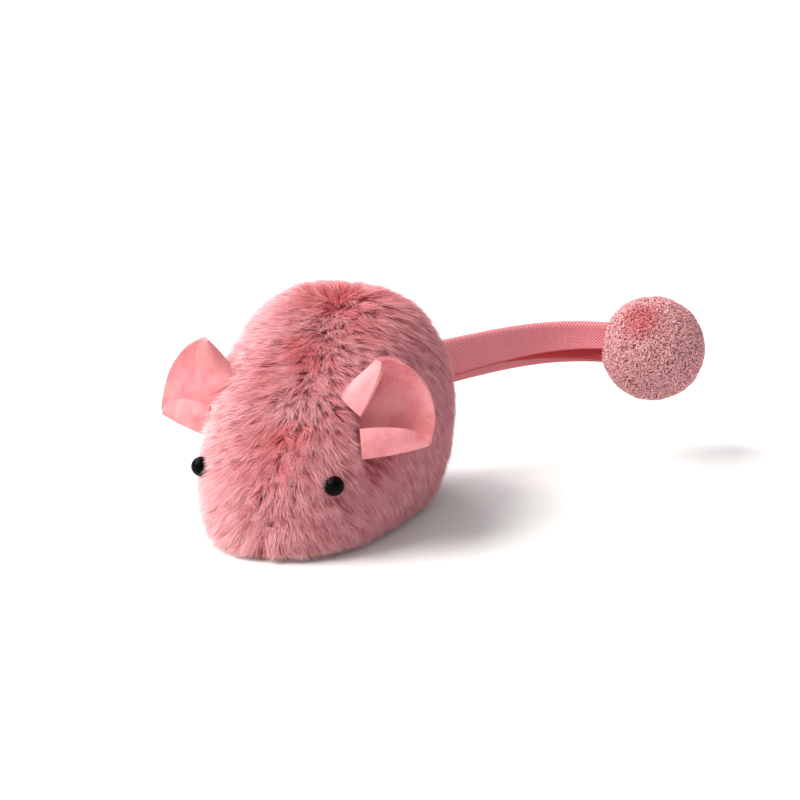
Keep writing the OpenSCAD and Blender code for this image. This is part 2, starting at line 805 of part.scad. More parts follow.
module tail_plug() {
    color("gainsboro") difference() {
        union() {
            translate([tail_at.x, tail_at.y, plug_z]) cylinder(r = lug_r - 0.4, h = plug_h);
            translate([tail_at.x, tail_at.y, plug_z]) rotate(-atan2(ROOT_WAY.x, ROOT_WAY.y)) {
                translate([-1.2, 1.4, 0]) cube([2.4, 2.6, plug_h]);
            }
        }
        translate([tail_at.x, tail_at.y, plug_z - 1]) cylinder(r = pin_r + run_gap, h = plug_h + 2);
    }
}

// Spring strip between the layers that gives the tail its curve.
module tail_core() {
    color("silver") translate([0, 0, plug_z + 1]) {
        linear_extrude(plug_h - 2.5) polygon(band(0, core_t, -0.03, 1.03, 24));
    }
}

module tail_strap() {
    mid = (layer_gap + strap_t) / 2;
    color("rosybrown") {
        translate([0, 0, strap_low]) {
            linear_extrude(strap_h + strap_t) polygon(band(-mid, strap_t, 0, 1, 24));
        }
        translate([0, 0, strap_low - strap_step]) {
            linear_extrude(strap_h + strap_step + strap_t) polygon(band(mid, strap_t, 0, 1, 24));
        }
        translate([0, 0, strap_top - strap_t]) {
            linear_extrude(strap_t) polygon(band(0, layer_gap + 0.2, 0, 1, 24));
        }
    }
}

module tail_ball() {
    color("rosybrown") translate([ball_at.x, ball_at.y, ball_z]) sphere(d = ball_d - 1, $fn = 64);
}

fur_cover();
ear_left();
ear_right();
eye_left();
eye_right();
body_shell();
base_plate();
base_screws();
gear_plate_left();
gear_plate_right();
plate_pillars();
axle_bushes();
idler_pin();
click_pin();
click_spring();
winding_key();
key_arbor();
ratchet_wheel();
click();
spring_barrel();
barrel_lid();
mainspring();
idler_gear();
drive_axle();
output_pinion();
wheel_left();
wheel_right();
tyre_left();
tyre_right();
caster_fork();
caster_roller();
roller_pin();
tail_pin();
tail_plug();
tail_core();
tail_strap();
tail_ball();
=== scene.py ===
"""The looks of a clockwork mouse.

A pile cover, felt ears, bead eyes, a folded twill tail and a looped tuft are built
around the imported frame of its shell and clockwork.
"""

import json
import logging
import math
from dataclasses import dataclass, field
from enum import Enum

import bmesh
import bpy
import numpy as np
from mathutils import Matrix, Vector, kdtree, noise

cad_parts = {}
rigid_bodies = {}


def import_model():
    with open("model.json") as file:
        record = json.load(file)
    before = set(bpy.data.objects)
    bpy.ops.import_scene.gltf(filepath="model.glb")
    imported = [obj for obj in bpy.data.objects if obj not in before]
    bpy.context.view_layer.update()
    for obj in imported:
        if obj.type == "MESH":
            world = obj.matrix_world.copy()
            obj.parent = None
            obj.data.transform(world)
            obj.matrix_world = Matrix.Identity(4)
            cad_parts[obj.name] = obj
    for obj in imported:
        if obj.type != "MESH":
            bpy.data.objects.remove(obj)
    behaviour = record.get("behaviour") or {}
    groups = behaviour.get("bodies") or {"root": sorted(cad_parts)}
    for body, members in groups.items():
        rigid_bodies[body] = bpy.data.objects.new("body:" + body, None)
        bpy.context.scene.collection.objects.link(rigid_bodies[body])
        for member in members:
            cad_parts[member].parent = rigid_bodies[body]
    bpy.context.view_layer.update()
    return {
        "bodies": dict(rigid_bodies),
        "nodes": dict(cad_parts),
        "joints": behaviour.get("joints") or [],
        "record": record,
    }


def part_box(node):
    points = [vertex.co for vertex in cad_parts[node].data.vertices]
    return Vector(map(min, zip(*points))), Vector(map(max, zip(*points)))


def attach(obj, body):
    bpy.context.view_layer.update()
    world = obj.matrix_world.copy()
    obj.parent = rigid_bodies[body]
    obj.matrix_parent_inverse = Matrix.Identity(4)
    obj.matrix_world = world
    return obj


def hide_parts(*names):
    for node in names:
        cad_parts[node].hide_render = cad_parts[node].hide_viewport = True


MM = 0.001
log = logging.getLogger("mouse")

Array = np.ndarray
Colour = tuple[float, float, float, float]
Socket = bpy.types.NodeSocket


def linear(code: str) -> Colour:
    """Turns an sRGB hex colour into a linear one.

    Args:
        code: Six hex digits.

    Returns:
        Linear red, green and blue, with full alpha.
    """
    parts = [int(code[i : i + 2], 16) / 255 for i in (0, 2, 4)]
    red, green, blue = (
        c / 12.92 if c <= 0.04045 else ((c + 0.055) / 1.055) ** 2.4 for c in parts
    )
    return red, green, blue, 1.0


def darker(colour: Colour, share: float) -> Colour:
    """Returns a linear colour at a share of its brightness."""
    return colour[0] * share, colour[1] * share, colour[2] * share, 1.0


def unit(vectors: Array) -> Array:
    """Returns the vectors, one to a row, at length 1."""
    return vectors / np.maximum(np.linalg.norm(vectors, axis=-1, keepdims=True), 1e-12)


def across(vectors: Array, normals: Array) -> Array:
    """Returns the part of each vector that lies across its normal, at length 1."""
    flat = vectors - (vectors * normals).sum(-1, keepdims=True) * normals
    return unit(flat)


# ---- materials ----


class Graph:
    """A material under construction, with one way to add a node."""

    def __init__(self, name: str) -> None:
        """Starts an empty material.

        Args:
            name: The material's name.
        """
        self.material = bpy.data.materials.new(name)
        self.material.use_nodes = True
        self.tree = self.material.node_tree
        self.tree.nodes.clear()

    def add(
        self, kind: str, inputs: dict | None = None, **settings: object
    ) -> bpy.types.Node:
        """Adds a node with its settings and links.

        Args:
            kind: The node's type name.
            inputs: A value, or the socket that feeds it, for each input's name or place.
            settings: The node's own properties.

        Returns:
            The new node.
        """
        node = self.tree.nodes.new(kind)
        for key, value in settings.items():
            setattr(node, key, value)
        for key, value in (inputs or {}).items():
            if isinstance(value, Socket):
                self.tree.links.new(value, node.inputs[key])
            else:
                node.inputs[key].default_value = value
        return node

    def place(self) -> Socket:
        """Returns the place on the piece, in metres."""
        return self.add("ShaderNodeTexCoord").outputs["Object"]

    def strand(self) -> list[Socket]:
        """Returns the place along a strand, its tone and its share of red, partly painted light and
        shade.
        """
        names = ("along", "tone", "dye_and_painted_light")
        return [self.add("ShaderNodeAttribute", attribute_name=n).outputs["Fac"] for n in names]

    def cloud(self, place: Socket, scale: float, detail: float = 2.0, rough: float = 0.5) -> Socket:
        """Adds cloudy noise.

        Args:
            place: Where it is read.
            scale: Clouds to a metre.
            detail: How many finer layers it has.
            rough: How strong the finer layers are.

        Returns:
            The noise, from 0 to 1.
        """
        inputs = {"Vector": place, "Scale": scale, "Detail": detail, "Roughness": rough}
        return self.add("ShaderNodeTexNoise", inputs).outputs["Fac"]

    def span(self, value: Socket, low: float, high: float, top: float = 1.0) -> Socket:
        """Stretches a value, which runs from 0 to its top, over a new span."""
        inputs = {"Value": value, "From Max": top, "To Min": low, "To Max": high}
        return self.add("ShaderNodeMapRange", inputs).outputs["Result"]

    def maths(self, operation: str, *values: Socket | float) -> Socket:
        """Works out a sum of values."""
        return self.add("ShaderNodeMath", dict(enumerate(values)), operation=operation).outputs[0]

    def mix(self, share: Socket, under: Socket, over: Colour) -> Socket:
        """Covers a colour with a share of another."""
        inputs = {0: share, 6: under, 7: over}
        return self.add("ShaderNodeMix", inputs, data_type="RGBA").outputs[2]

    def toned(self, colour: Socket, value: Socket, saturation: Socket | float = 1.0) -> Socket:
        """Changes how bright and how strong a colour is."""
        inputs = {"Color": colour, "Value": value, "Saturation": saturation}
        return self.add("ShaderNodeHueSaturation", inputs).outputs["Color"]

    def bump(self, height: Socket, strength: float, depth: float) -> Socket:
        """Turns a height into relief of a depth in metres."""
        inputs = {"Height": height, "Strength": strength, "Distance": depth}
        return self.add("ShaderNodeBump", inputs).outputs["Normal"]

    def ramp(self, factor: Socket, stops: list[tuple[float, Colour]]) -> Socket:
        """Adds a colour ramp.

        Args:
            factor: What drives it.
            stops: Places from 0 to 1 and their colours.

        Returns:
            The ramp's colour socket.
        """
        node = self.add("ShaderNodeValToRGB", {"Fac": factor})
        band = node.color_ramp.elements
        while len(band) < len(stops):
            band.new(0.5)
        for element, (place, colour) in zip(band, stops):
            element.position = place
            element.color = colour
        return node.outputs["Color"]

    def finish(self, inputs: dict) -> bpy.types.Material:
        """Adds the surface shader and the output.

        Args:
            inputs: The shader's inputs.

        Returns:
            The finished material.
        """
        shader = self.add("ShaderNodeBsdfPrincipled", inputs)
        self.add("ShaderNodeOutputMaterial", {"Surface": shader.outputs["BSDF"]})
        return self.material


@dataclass(frozen=True)
class Finish:
    """A surface finish, made once as a material and shared by all that wear it."""

    name: str

    def material(self) -> bpy.types.Material:
        """Returns the finish's material, which is made at the first call."""
        return bpy.data.materials.get(self.name) or self.build(Graph(self.name))

    def build(self, graph: Graph) -> bpy.types.Material:
        """Makes the material in an empty graph."""
        raise NotImplementedError

    def wear(self, piece: bpy.types.Object) -> None:
        """Puts the finish on every material slot of a piece."""
        if not piece.material_slots:
            piece.data.materials.append(None)
        for held in piece.material_slots:
            held.material = self.material()


@dataclass(frozen=True)
class AcrylicPile(Finish):
    """Acrylic plush pile, knitted in, sheared and brushed.

    Soft fibres scatter light, so it is matt with a faint sheen. It runs from deep rose at the roots
    to pale at the tips, and the roots' deep rose is painted shade down in the pile.
    """

    # Painted shade: the deep rose of the roots, down in the pile.
    root: str = "AE505A"
    middle: str = "DF7F88"
    tip: str = "FFD0D5"
    # Coral: partly weak random patches, partly painted light and shade along the ridge.
    dyed: str = "E8656A"

    def build(self, graph: Graph) -> bpy.types.Material:
        """Colours each fibre from root to tip, by its tone and share of coral, both partly painted
        light.
        """
        along, tone, dye_and_painted_light = graph.strand()
        # Painted shade: each fibre darkens towards its root, down in the pile.
        stops = [(0.1, linear(self.root)), (0.5, linear(self.middle)), (0.95, linear(self.tip))]
        fibre = graph.ramp(along, stops)
        # The tone, which brightens and pales each fibre, carries painted light and shade by flank.
        toned = graph.toned(fibre, graph.span(tone, 0.72, 1.3), graph.span(tone, 1.34, 0.66))
        share = graph.maths("MULTIPLY", dye_and_painted_light, graph.span(along, 1.0, 0.6))
        return graph.finish(
            {
                "Base Color": graph.mix(share, toned, linear(self.dyed)),
                "Roughness": 0.78,
                "IOR": 1.45,
                "Specular IOR Level": 0.25,
                "Sheen Weight": 0.3,
                "Sheen Roughness": 0.5,
                "Sheen Tint": linear("FFBDC3"),
            }
        )


@dataclass(frozen=True)
class KnitGround(Finish):
    """Warp-knitted polyester ground under the pile.

    Dull dyed yarn in rows of stitches, seen only as dark rose between the fibres.
    """

    colour: str = "AC5660"
    stitch_mm: float = 0.9

    def build(self, graph: Graph) -> bpy.types.Material:
        """Lays fine rows of stitches over the dyed yarn."""
        inputs = {"Vector": graph.place(), "Scale": 1 / (self.stitch_mm * MM)}
        rows = graph.add("ShaderNodeTexVoronoi", inputs).outputs["Distance"]
        yarn = linear(self.colour)
        return graph.finish(
            {
                "Base Color": graph.ramp(rows, [(0.0, yarn), (0.8, darker(yarn, 0.55))]),
                "Roughness": 0.95,
                "Specular IOR Level": 0.1,
                "Normal": graph.bump(rows, 0.5, 0.2 * MM),
            }
        )


@dataclass(frozen=True)
class PressedFelt(Finish):
    """Pressed wool felt, dyed salmon.

    Matted fibres leave a grainy, very matt face with a soft bright fuzz at grazing angles.
    """

    colour: str = "D8757C"
    light: str = "F0A2A6"
    grain_mm: float = 0.35

    def build(self, graph: Graph) -> bpy.types.Material:
        """Mixes two scales of matted grain in colour and relief."""
        place = graph.place()
        grain = graph.cloud(place, 1 / (self.grain_mm * MM), 4.0, 0.7)
        both = graph.maths("MULTIPLY_ADD", grain, 0.7, graph.cloud(place, 180.0))
        stops = [(0.55, linear(self.colour)), (1.0, linear(self.light))]
        return graph.finish(
            {
                "Base Color": graph.ramp(both, stops),
                "Roughness": 0.92,
                "Specular IOR Level": 0.15,
                "Sheen Weight": 0.12,
                "Sheen Roughness": 0.4,
                "Sheen Tint": linear("FFD2CF"),
                "Normal": graph.bump(grain, 0.55, 0.3 * MM),
            }
        )


@dataclass(frozen=True)
class TwillWebbing(Finish):
    """Cotton twill webbing, woven and piece-dyed rose.

    Each rib runs aslant and rounded, and the cloth is matt. The colour darkens from each rib's top
    down into the furrows, as painted shade.
    The ribs are twice as coarse as real twill so that they show.
    """

    thread: str = "EE959D"
    # Painted shade: the colour down in the furrows.
    painted_furrow_shade: str = "BE5C66"
    edge: str = "C23A42"
    rib_mm: float = 0.62
    edge_mm: float = 0.55

    def ribs(self, graph: Graph, cloth: Socket, angle: float, share: float) -> Socket:
        """Draws one set of slanting ribs.

        Args:
            graph: The material's graph.
            cloth: The place on the cloth, along its run and round its girth.
            angle: The slant in degrees.
            share: How fine the ribs are beside the rib size.

        Returns:
            The ribs' height, from 0 to 1.
        """
        turn = {"Vector": cloth, "Rotation": (0.0, 0.0, math.radians(angle))}
        wave = {
            "Vector": graph.add("ShaderNodeMapping", turn).outputs["Vector"],
            "Scale": 0.314 * share / (self.rib_mm * MM),
            "Distortion": 0.5,
            "Detail": 1.0,
            "Detail Scale": 3.0,
        }
        node = graph.add("ShaderNodeTexWave", wave, wave_type="BANDS", bands_direction="X")
        return node.outputs["Fac"]

    def build(self, graph: Graph) -> bpy.types.Material:
        """Crosses two sets of ribs, paints shade into their furrows and reddens the webbing's hem.
        """
        cloth = graph.add("ShaderNodeAttribute", attribute_name="cloth").outputs["Vector"]
        slant, crossing = self.ribs(graph, cloth, 38, 0.9), self.ribs(graph, cloth, -46, 1.0)
        height = graph.maths("MULTIPLY_ADD", slant, 0.55, crossing)
        # Painted shade: darker down into the furrows between the ribs, lighter on their tops.
        colour = graph.ramp(height, [(0.15, linear(self.painted_furrow_shade)), (1.0, linear(self.thread))])
        girth = graph.add("ShaderNodeSeparateXYZ", {"Vector": cloth}).outputs["Y"]
        hem = graph.span(girth, 1.0, 0.0, self.edge_mm * MM)
        return graph.finish(
            {
                "Base Color": graph.mix(hem, colour, linear(self.edge)),
                "Roughness": 0.88,
                "Specular IOR Level": 0.2,
                "Sheen Weight": 0.2,
                "Sheen Tint": linear("FFD0D0"),
                "Normal": graph.bump(height, 0.6, 0.3 * MM),
            }
        )


@dataclass(frozen=True)
class LoopedYarn(Finish):
    """Chenille yarn in short curled loops, dyed rose.

    Tips are pale; the deep red in the pits between the loops is painted shade, and the red
    patch on the tuft's upper front is painted light.
    """

    # Painted shade: the deep red in the pits between the loops.
    painted_pit_shade: str = "C4626B"
    tip: str = "FFCDD0"
    # Painted light: the red of the patch on the tuft's upper front.
    dyed: str = "D04A50"

    def build(self, graph: Graph) -> bpy.types.Material:
        """Colours each curl from painted shade at its root to its tip, by its own tone and red
        share.
        """
        along, tone, dye_and_painted_light = graph.strand()
        yarn = graph.ramp(along, [(0.05, linear(self.painted_pit_shade)), (0.9, linear(self.tip))])
        toned = graph.toned(yarn, graph.span(tone, 0.86, 1.1))
        return graph.finish(
            {
                "Base Color": graph.mix(dye_and_painted_light, toned, linear(self.dyed)),
                "Roughness": 0.9,
                "Specular IOR Level": 0.15,
                "Sheen Weight": 0.3,
                "Sheen Tint": linear("FFD9DC"),
            }
        )


@dataclass(frozen=True)
class MouldedPlastic(Finish):
    """Injection-moulded plastic, such as ABS or nylon.

    A fine spark-eroded grain breaks its soft gloss, with faint flow marks in the colour.
    """

    colour: str = "E4DFD6"
    roughness: float = 0.42
    grain_mm: float = 0.25

    def build(self, graph: Graph) -> bpy.types.Material:
        """Adds moulded grain and a slow change of tone."""
        place = graph.place()
        flow = graph.cloud(place, 60.0)
        grain = graph.cloud(place, 1 / (self.grain_mm * MM))
        base = linear(self.colour)
        return graph.finish(
            {
                "Base Color": graph.ramp(flow, [(0.35, darker(base, 0.86)), (0.65, base)]),
                "Roughness": graph.span(grain, self.roughness - 0.08, self.roughness + 0.12),
                "IOR": 1.5,
                "Normal": graph.bump(grain, 0.15, 0.1 * MM),
            }
        )


@dataclass(frozen=True)
class TyreRubber(Finish):
    """Moulded nitrile rubber, dark and matt, with grey dust in its grain."""

    colour: str = "26262A"
    dust: str = "4B4746"

    def build(self, graph: Graph) -> bpy.types.Material:
        """Adds dust and a fine pitted relief."""
        pits = graph.cloud(graph.place(), 1800.0, 3.0)
        stops = [(0.45, linear(self.colour)), (0.75, linear(self.dust))]
        return graph.finish(
            {
                "Base Color": graph.ramp(pits, stops),
                "Roughness": 0.8,
                "IOR": 1.52,
                "Normal": graph.bump(pits, 0.3, 0.1 * MM),
            }
        )


class Grain(Enum):
    """How a metal surface was worked, as stretch of its marks along X, Y and Z."""

    ROLLED = (1.0, 1.0, 12.0)
    TURNED = (14.0, 1.0, 1.0)


@dataclass(frozen=True)
class WorkedMetal(Finish):
    """Steel or brass, rolled or turned, some of it plated or blued.

    Fine marks from the work stretch its highlights.
    """

    colour: str = "C9CACC"
    tarnish: str = "A3A4A8"
    roughness: float = 0.28
    grain: Grain = Grain.ROLLED
    mark_mm: float = 0.2

    def build(self, graph: Graph) -> bpy.types.Material:
        """Adds stretched tool marks and a light tarnish."""
        place = graph.place()
        stretch = {"Vector": place, "Scale": self.grain.value}
        stretched = graph.add("ShaderNodeMapping", stretch).outputs["Vector"]
        marks = graph.cloud(stretched, 0.2 / (self.mark_mm * MM), 3.0)
        stops = [(0.35, linear(self.tarnish)), (0.6, linear(self.colour))]
        return graph.finish(
            {
                "Base Color": graph.ramp(graph.cloud(place, 220.0, 3.0), stops),
                "Metallic": 1.0,
                "Roughness": graph.span(marks, self.roughness - 0.08, self.roughness + 0.14),
                "Normal": graph.bump(marks, 0.12, 0.1 * MM),
            }
        )


@dataclass(frozen=True)
class GlossBead(Finish):
    """Black acrylic bead, tumbled to a gloss, with faint swirls that soften its highlight."""

    colour: str = "010101"
    swirl: str = "060405"

    def build(self, graph: Graph) -> bpy.types.Material:
        """Adds tumbling swirls under the gloss."""
        swirl = graph.cloud(graph.place(), 700.0, 3.0)
        stops = [(0.4, linear(self.colour)), (0.8, linear(self.swirl))]
        return graph.finish(
            {
                "Base Color": graph.ramp(swirl, stops),
                "Roughness": graph.span(swirl, 0.25, 0.45),
                "IOR": 1.49,
                "Specular IOR Level": 0.06,
            }
        )


PILE = AcrylicPile("acrylic_pile_rose")
GROUND = KnitGround("knit_ground_rose")
FELT = PressedFelt("wool_felt_salmon")
TWILL = TwillWebbing("cotton_twill_rose")
# The tape's ribs also get painted shade in their furrows.
TAPE = TwillWebbing("binding_tape_coral", thread="CF474C", painted_furrow_shade="A5262E", rib_mm=0.3)
YARN = LoopedYarn("chenille_yarn_rose")
FINISHES: dict[str, Finish] = {
    "rose_fur": GROUND,
    "salmon_felt": FELT,
    "rose_webbing": TWILL,
    "rose_terry": YARN,
    "black_bead": GlossBead("acrylic_bead_black"),
    "shell_plastic": MouldedPlastic("abs_moulded_ivory", "DCD3C8", 0.45),
    "base_plastic": MouldedPlastic("abs_moulded_grey", "5E5A5C", 0.5),
    "wheel_nylon": MouldedPlastic("nylon_moulded_white", "E8E4DA", 0.38),
    "gear_nylon": MouldedPlastic("acetal_moulded_natural", "E3DCC8", 0.3),
    "tyre_rubber": TyreRubber("nitrile_rubber_moulded"),
    "plate_steel": WorkedMetal("steel_rolled_zinc", "B9BCC2", "8F9298", 0.32),
    "turned_steel": WorkedMetal("steel_turned", "C4C4C6", "9B9A9A", 0.22, Grain.TURNED),
    "spring_steel": WorkedMetal("spring_steel_blued", "3E4652", "5A4A44", 0.3),
    "screw_steel": WorkedMetal("steel_turned_nickel", "CFCBC2", "A7A199", 0.25, Grain.TURNED),
    "turned_brass": WorkedMetal("brass_turned", "C9A24E", "9A7430", 0.26, Grain.TURNED),
    "key_steel": WorkedMetal("steel_pressed_nickel", "D6D3CB", "A9A49B", 0.22),
}


# ---- meshes ----


def stand(name: str, data: bpy.types.ID) -> bpy.types.Object:
    """Makes an object of its data and puts it into the scene."""
    made = bpy.data.objects.new(name, data)
    bpy.context.scene.collection.objects.link(made)
    return made


def mesh_piece(name: str, points: Array, faces: list[Array]) -> bpy.types.Object:
    """Makes a smooth mesh piece from arrays.

    Args:
        name: The piece's name.
        points: One point to a row, in metres.
        faces: Arrays of faces, each with its own number of corners to a row.

    Returns:
        The new object, linked to the scene.
    """
    mesh = bpy.data.meshes.new(name)
    mesh.vertices.add(len(points))
    mesh.vertices.foreach_set("co", np.asarray(points, np.float32).ravel())
    corners = np.concatenate([f.ravel() for f in faces]).astype(np.int32)
    sizes = np.concatenate([np.full(len(f), f.shape[1], np.int32) for f in faces])
    starts = np.concatenate([[0], np.cumsum(sizes)[:-1]]).astype(np.int32)
    mesh.loops.add(len(corners))
    mesh.loops.foreach_set("vertex_index", corners)
    mesh.polygons.add(len(sizes))
    mesh.polygons.foreach_set("loop_start", starts)
    mesh.polygons.foreach_set("use_smooth", np.ones(len(sizes), bool))
    mesh.update(calc_edges=True)
    mesh.validate()
    return stand(name, mesh)


def grid_faces(rows: int, columns: int, closed: bool = False) -> Array:
    """Lists the faces of a grid of points that is stored row by row.

    Args:
        rows: How many rows of points.
        columns: How many points to a row.
        closed: Whether the last column joins the first.

    Returns:
        One four-cornered face to a row.
    """
    i, j = np.meshgrid(
        np.arange(rows - 1), np.arange(columns if closed else columns - 1), indexing="ij"
    )
    nxt = (j + 1) % columns
    a, b = i * columns + j, i * columns + nxt
    return np.stack([a, b, b + columns, a + columns], -1).reshape(-1, 4)


def mark(piece: bpy.types.Object, name: str, values: Array) -> None:
    """Stores one number, or one vector, for each point of a piece.

    Args:
        piece: The piece.
        name: The attribute's name.
        values: One value to a point.
    """
    kind, key = ("FLOAT", "value") if values.ndim == 1 else ("FLOAT_VECTOR", "vector")
    layer = piece.data.attributes.new(name, kind, "POINT")
    layer.data.foreach_set(key, np.asarray(values, np.float32).ravel())


def put_on(piece: bpy.types.Object, finish: Finish, body: str) -> None:
    """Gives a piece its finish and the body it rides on."""
    finish.wear(piece)
    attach(piece, body)


def thicken(piece: bpy.types.Object, name: str, thick: float) -> None:
    """Gives a sheet its thickness, half of it to each side."""
    layer = piece.modifiers.new(name, "SOLIDIFY")
    layer.thickness = thick
    layer.offset = 0.0


def nearest(places: Array, points: Array) -> tuple[Array, Array]:
    """Finds the place that is nearest to each point.

    Args:
        places: The places to choose from.
        points: The points.

    Returns:
        The number of each point's place, and how far off it is.
    """
    tree = kdtree.KDTree(len(places))
    for i, place in enumerate(places):
        tree.insert(place, i)
    tree.balance()
    found = [tree.find(p) for p in points]
    return np.array([hit[1] for hit in found]), np.array([hit[2] for hit in found])


@dataclass
class Fibres:
    """Flat tapering fibres that all have the same number of points."""

    paths: Array
    sides: Array
    width: float
    taper: float
    # Tone carries painted light and shade in the pile; the red share carries painted light and
    # shade in the pile and painted light on the tuft.
    tone: Array
    dye_and_painted_light: Array

    def part(self, chosen: Array) -> "Fibres":
        """Returns only the chosen fibres."""
        paths, sides, tone, dye_and_painted_light = (
            a[chosen] for a in (self.paths, self.sides, self.tone, self.dye_and_painted_light)
        )
        return Fibres(paths, sides, self.width, self.taper, tone, dye_and_painted_light)

    def piece(self, name: str) -> bpy.types.Object:
        """Makes one mesh piece of all the fibres.

        Args:
            name: The piece's name.

        Returns:
            The new object, with along, tone and the share of red, partly painted light, on its
            points.
        """
        count, steps = self.paths.shape[:2]
        share = np.linspace(0, 1, steps)
        half = self.width / 2 * (1 - self.taper * share[:-1] ** 1.5)
        shift = self.sides[:, None, :] * half[None, :, None]
        body = self.paths[:, :-1]
        pairs = np.stack([body - shift, body + shift], 2).reshape(count, -1, 3)
        points = np.concatenate([pairs, self.paths[:, -1:]], 1)
        each = 2 * (steps - 1) + 1
        first = (np.arange(count) * each)[:, None]
        corners = np.array([0, 1, 3, 2])
        quads = [first + 2 * i + corners for i in range(steps - 2)]
        tip = first + np.array([each - 3, each - 2, each - 1])
        piece = mesh_piece(name, points.reshape(-1, 3), [np.concatenate(quads), tip])
        along = np.concatenate([np.repeat(share[:-1], 2), [1.0]])
        mark(piece, "along", np.tile(along, count))
        mark(piece, "tone", np.repeat(self.tone, each))
        mark(piece, "dye_and_painted_light", np.repeat(self.dye_and_painted_light, each))
        return piece


# ---- studio ----


class Light(Enum):
    """The kinds of light, as the names of their type and of their size."""

    FAR = ("SUN", "angle")
    SOFT_BOX = ("AREA", "size")


@dataclass
class Studio:
    """The pale floor, the soft lights and the camera."""

    azimuth: float = 25.06
    elevation: float = 17.95
    roll: float = 0.51
    distance: float = 0.45
    lens: float = 86.7
    aim_right: float = 17.23 * MM
    aim_up: float = 26.41 * MM
    floor_size: float = 60.0
    backdrop: str = "FFFFFF"
    fill: float = 0.52
    lamp_distance: float = 0.9
    lamp_aim: tuple[float, float, float] = (0.01, 0.02, 0.02)

    def axes(self) -> tuple[Vector, Vector, Vector]:
        """Returns the directions to the camera, to its right and up its picture."""
        a = math.radians(self.azimuth)
        back = self.direction(self.azimuth, self.elevation)
        right = Vector((math.cos(a), math.sin(a), 0.0))
        return back, right, back.cross(right)

    def camera(self) -> bpy.types.Object:
        """Makes the scene's camera, aimed up and to the right of the frame's origin.

        Returns:
            The camera.
        """
        back, right, up = self.axes()
        data = bpy.data.cameras.new("camera")
        data.lens = self.lens
        data.clip_start = 0.01
        data.clip_end = 200.0
        camera = stand("camera", data)
        place = back * self.distance
        look = (right * self.aim_right + up * self.aim_up) - place
        upright = Matrix((right, up, back)).transposed()
        turn = (-back).rotation_difference(look).to_matrix() @ upright
        roll = Matrix.Rotation(math.radians(self.roll), 3, "Z")
        camera.matrix_world = Matrix.Translation(place) @ (turn @ roll).to_4x4()
        bpy.context.scene.camera = camera
        return camera

    def direction(self, azimuth: float, elevation: float) -> Vector:
        """Returns the way out to an azimuth and an elevation in degrees, from the nose's side."""
        a, e = math.radians(azimuth), math.radians(elevation)
        return Vector((math.sin(a) * math.cos(e), -math.cos(a) * math.cos(e), math.sin(e)))

    def light(
        self, name: str, kind: Light, azimuth: float, elevation: float, size: float, power: float
    ) -> None:
        """Adds a light that faces the mouse.

        Args:
            name: The light's name.
            kind: Which kind of light it is.
            azimuth: Its direction around the mouse, in degrees.
            elevation: Its angle above the floor, in degrees.
            size: How wide it looks in radians, or its side in metres.
            power: Its watts to a square metre, or its watts.
        """
        family, size_name = kind.value
        data = bpy.data.lights.new(name, family)
        setattr(data, size_name, size)
        data.energy = power
        lamp = stand(name, data)
        way = self.direction(azimuth, elevation)
        lamp.location = way * self.lamp_distance + Vector(self.lamp_aim)
        lamp.rotation_euler = way.to_track_quat("Z", "Y").to_euler()
        if kind is Light.FAR:
            data.color = linear("FFFBF5")[:3]

    def floor(self) -> bpy.types.Object:
        """Lays the pale floor, a smooth sheet with a fine matt grain.

        Returns:
            The floor.
        """
        half, rows = self.floor_size / 2, 9
        ways = np.linspace(-half, half, rows)
        x, y = np.meshgrid(ways, ways, indexing="ij")
        points = np.stack([x, y, np.zeros_like(x)], -1).reshape(-1, 3)
        floor = mesh_piece("floor", points, [grid_faces(rows, rows)[:, ::-1]])
        graph = Graph("studio_paper")
        grain = graph.cloud(graph.place(), 900.0)
        colour = graph.ramp(grain, [(0.3, linear("F4F4F4")), (0.7, linear("FAFAFA"))])
        matt = {"Base Color": colour, "Roughness": 0.95, "Specular IOR Level": 0.0}
        floor.data.materials.append(graph.finish(matt))
        return floor

    def build(self) -> None:
        """Sets up the whole studio."""
        self.camera()
        self.floor()
        self.light("key", Light.FAR, -48, 46, math.radians(40), 3.3)
        self.light("rim", Light.SOFT_BOX, -105, 50, 0.7, 5.0)
        world = bpy.data.worlds.new("studio")
        world.use_nodes = True
        sky = world.node_tree.nodes["Background"]
        sky.inputs["Color"].default_value = linear(self.backdrop)
        sky.inputs["Strength"].default_value = self.fill
        bpy.context.scene.world = world
        bpy.context.scene.view_settings.view_transform = "Standard"


# ---- body ----


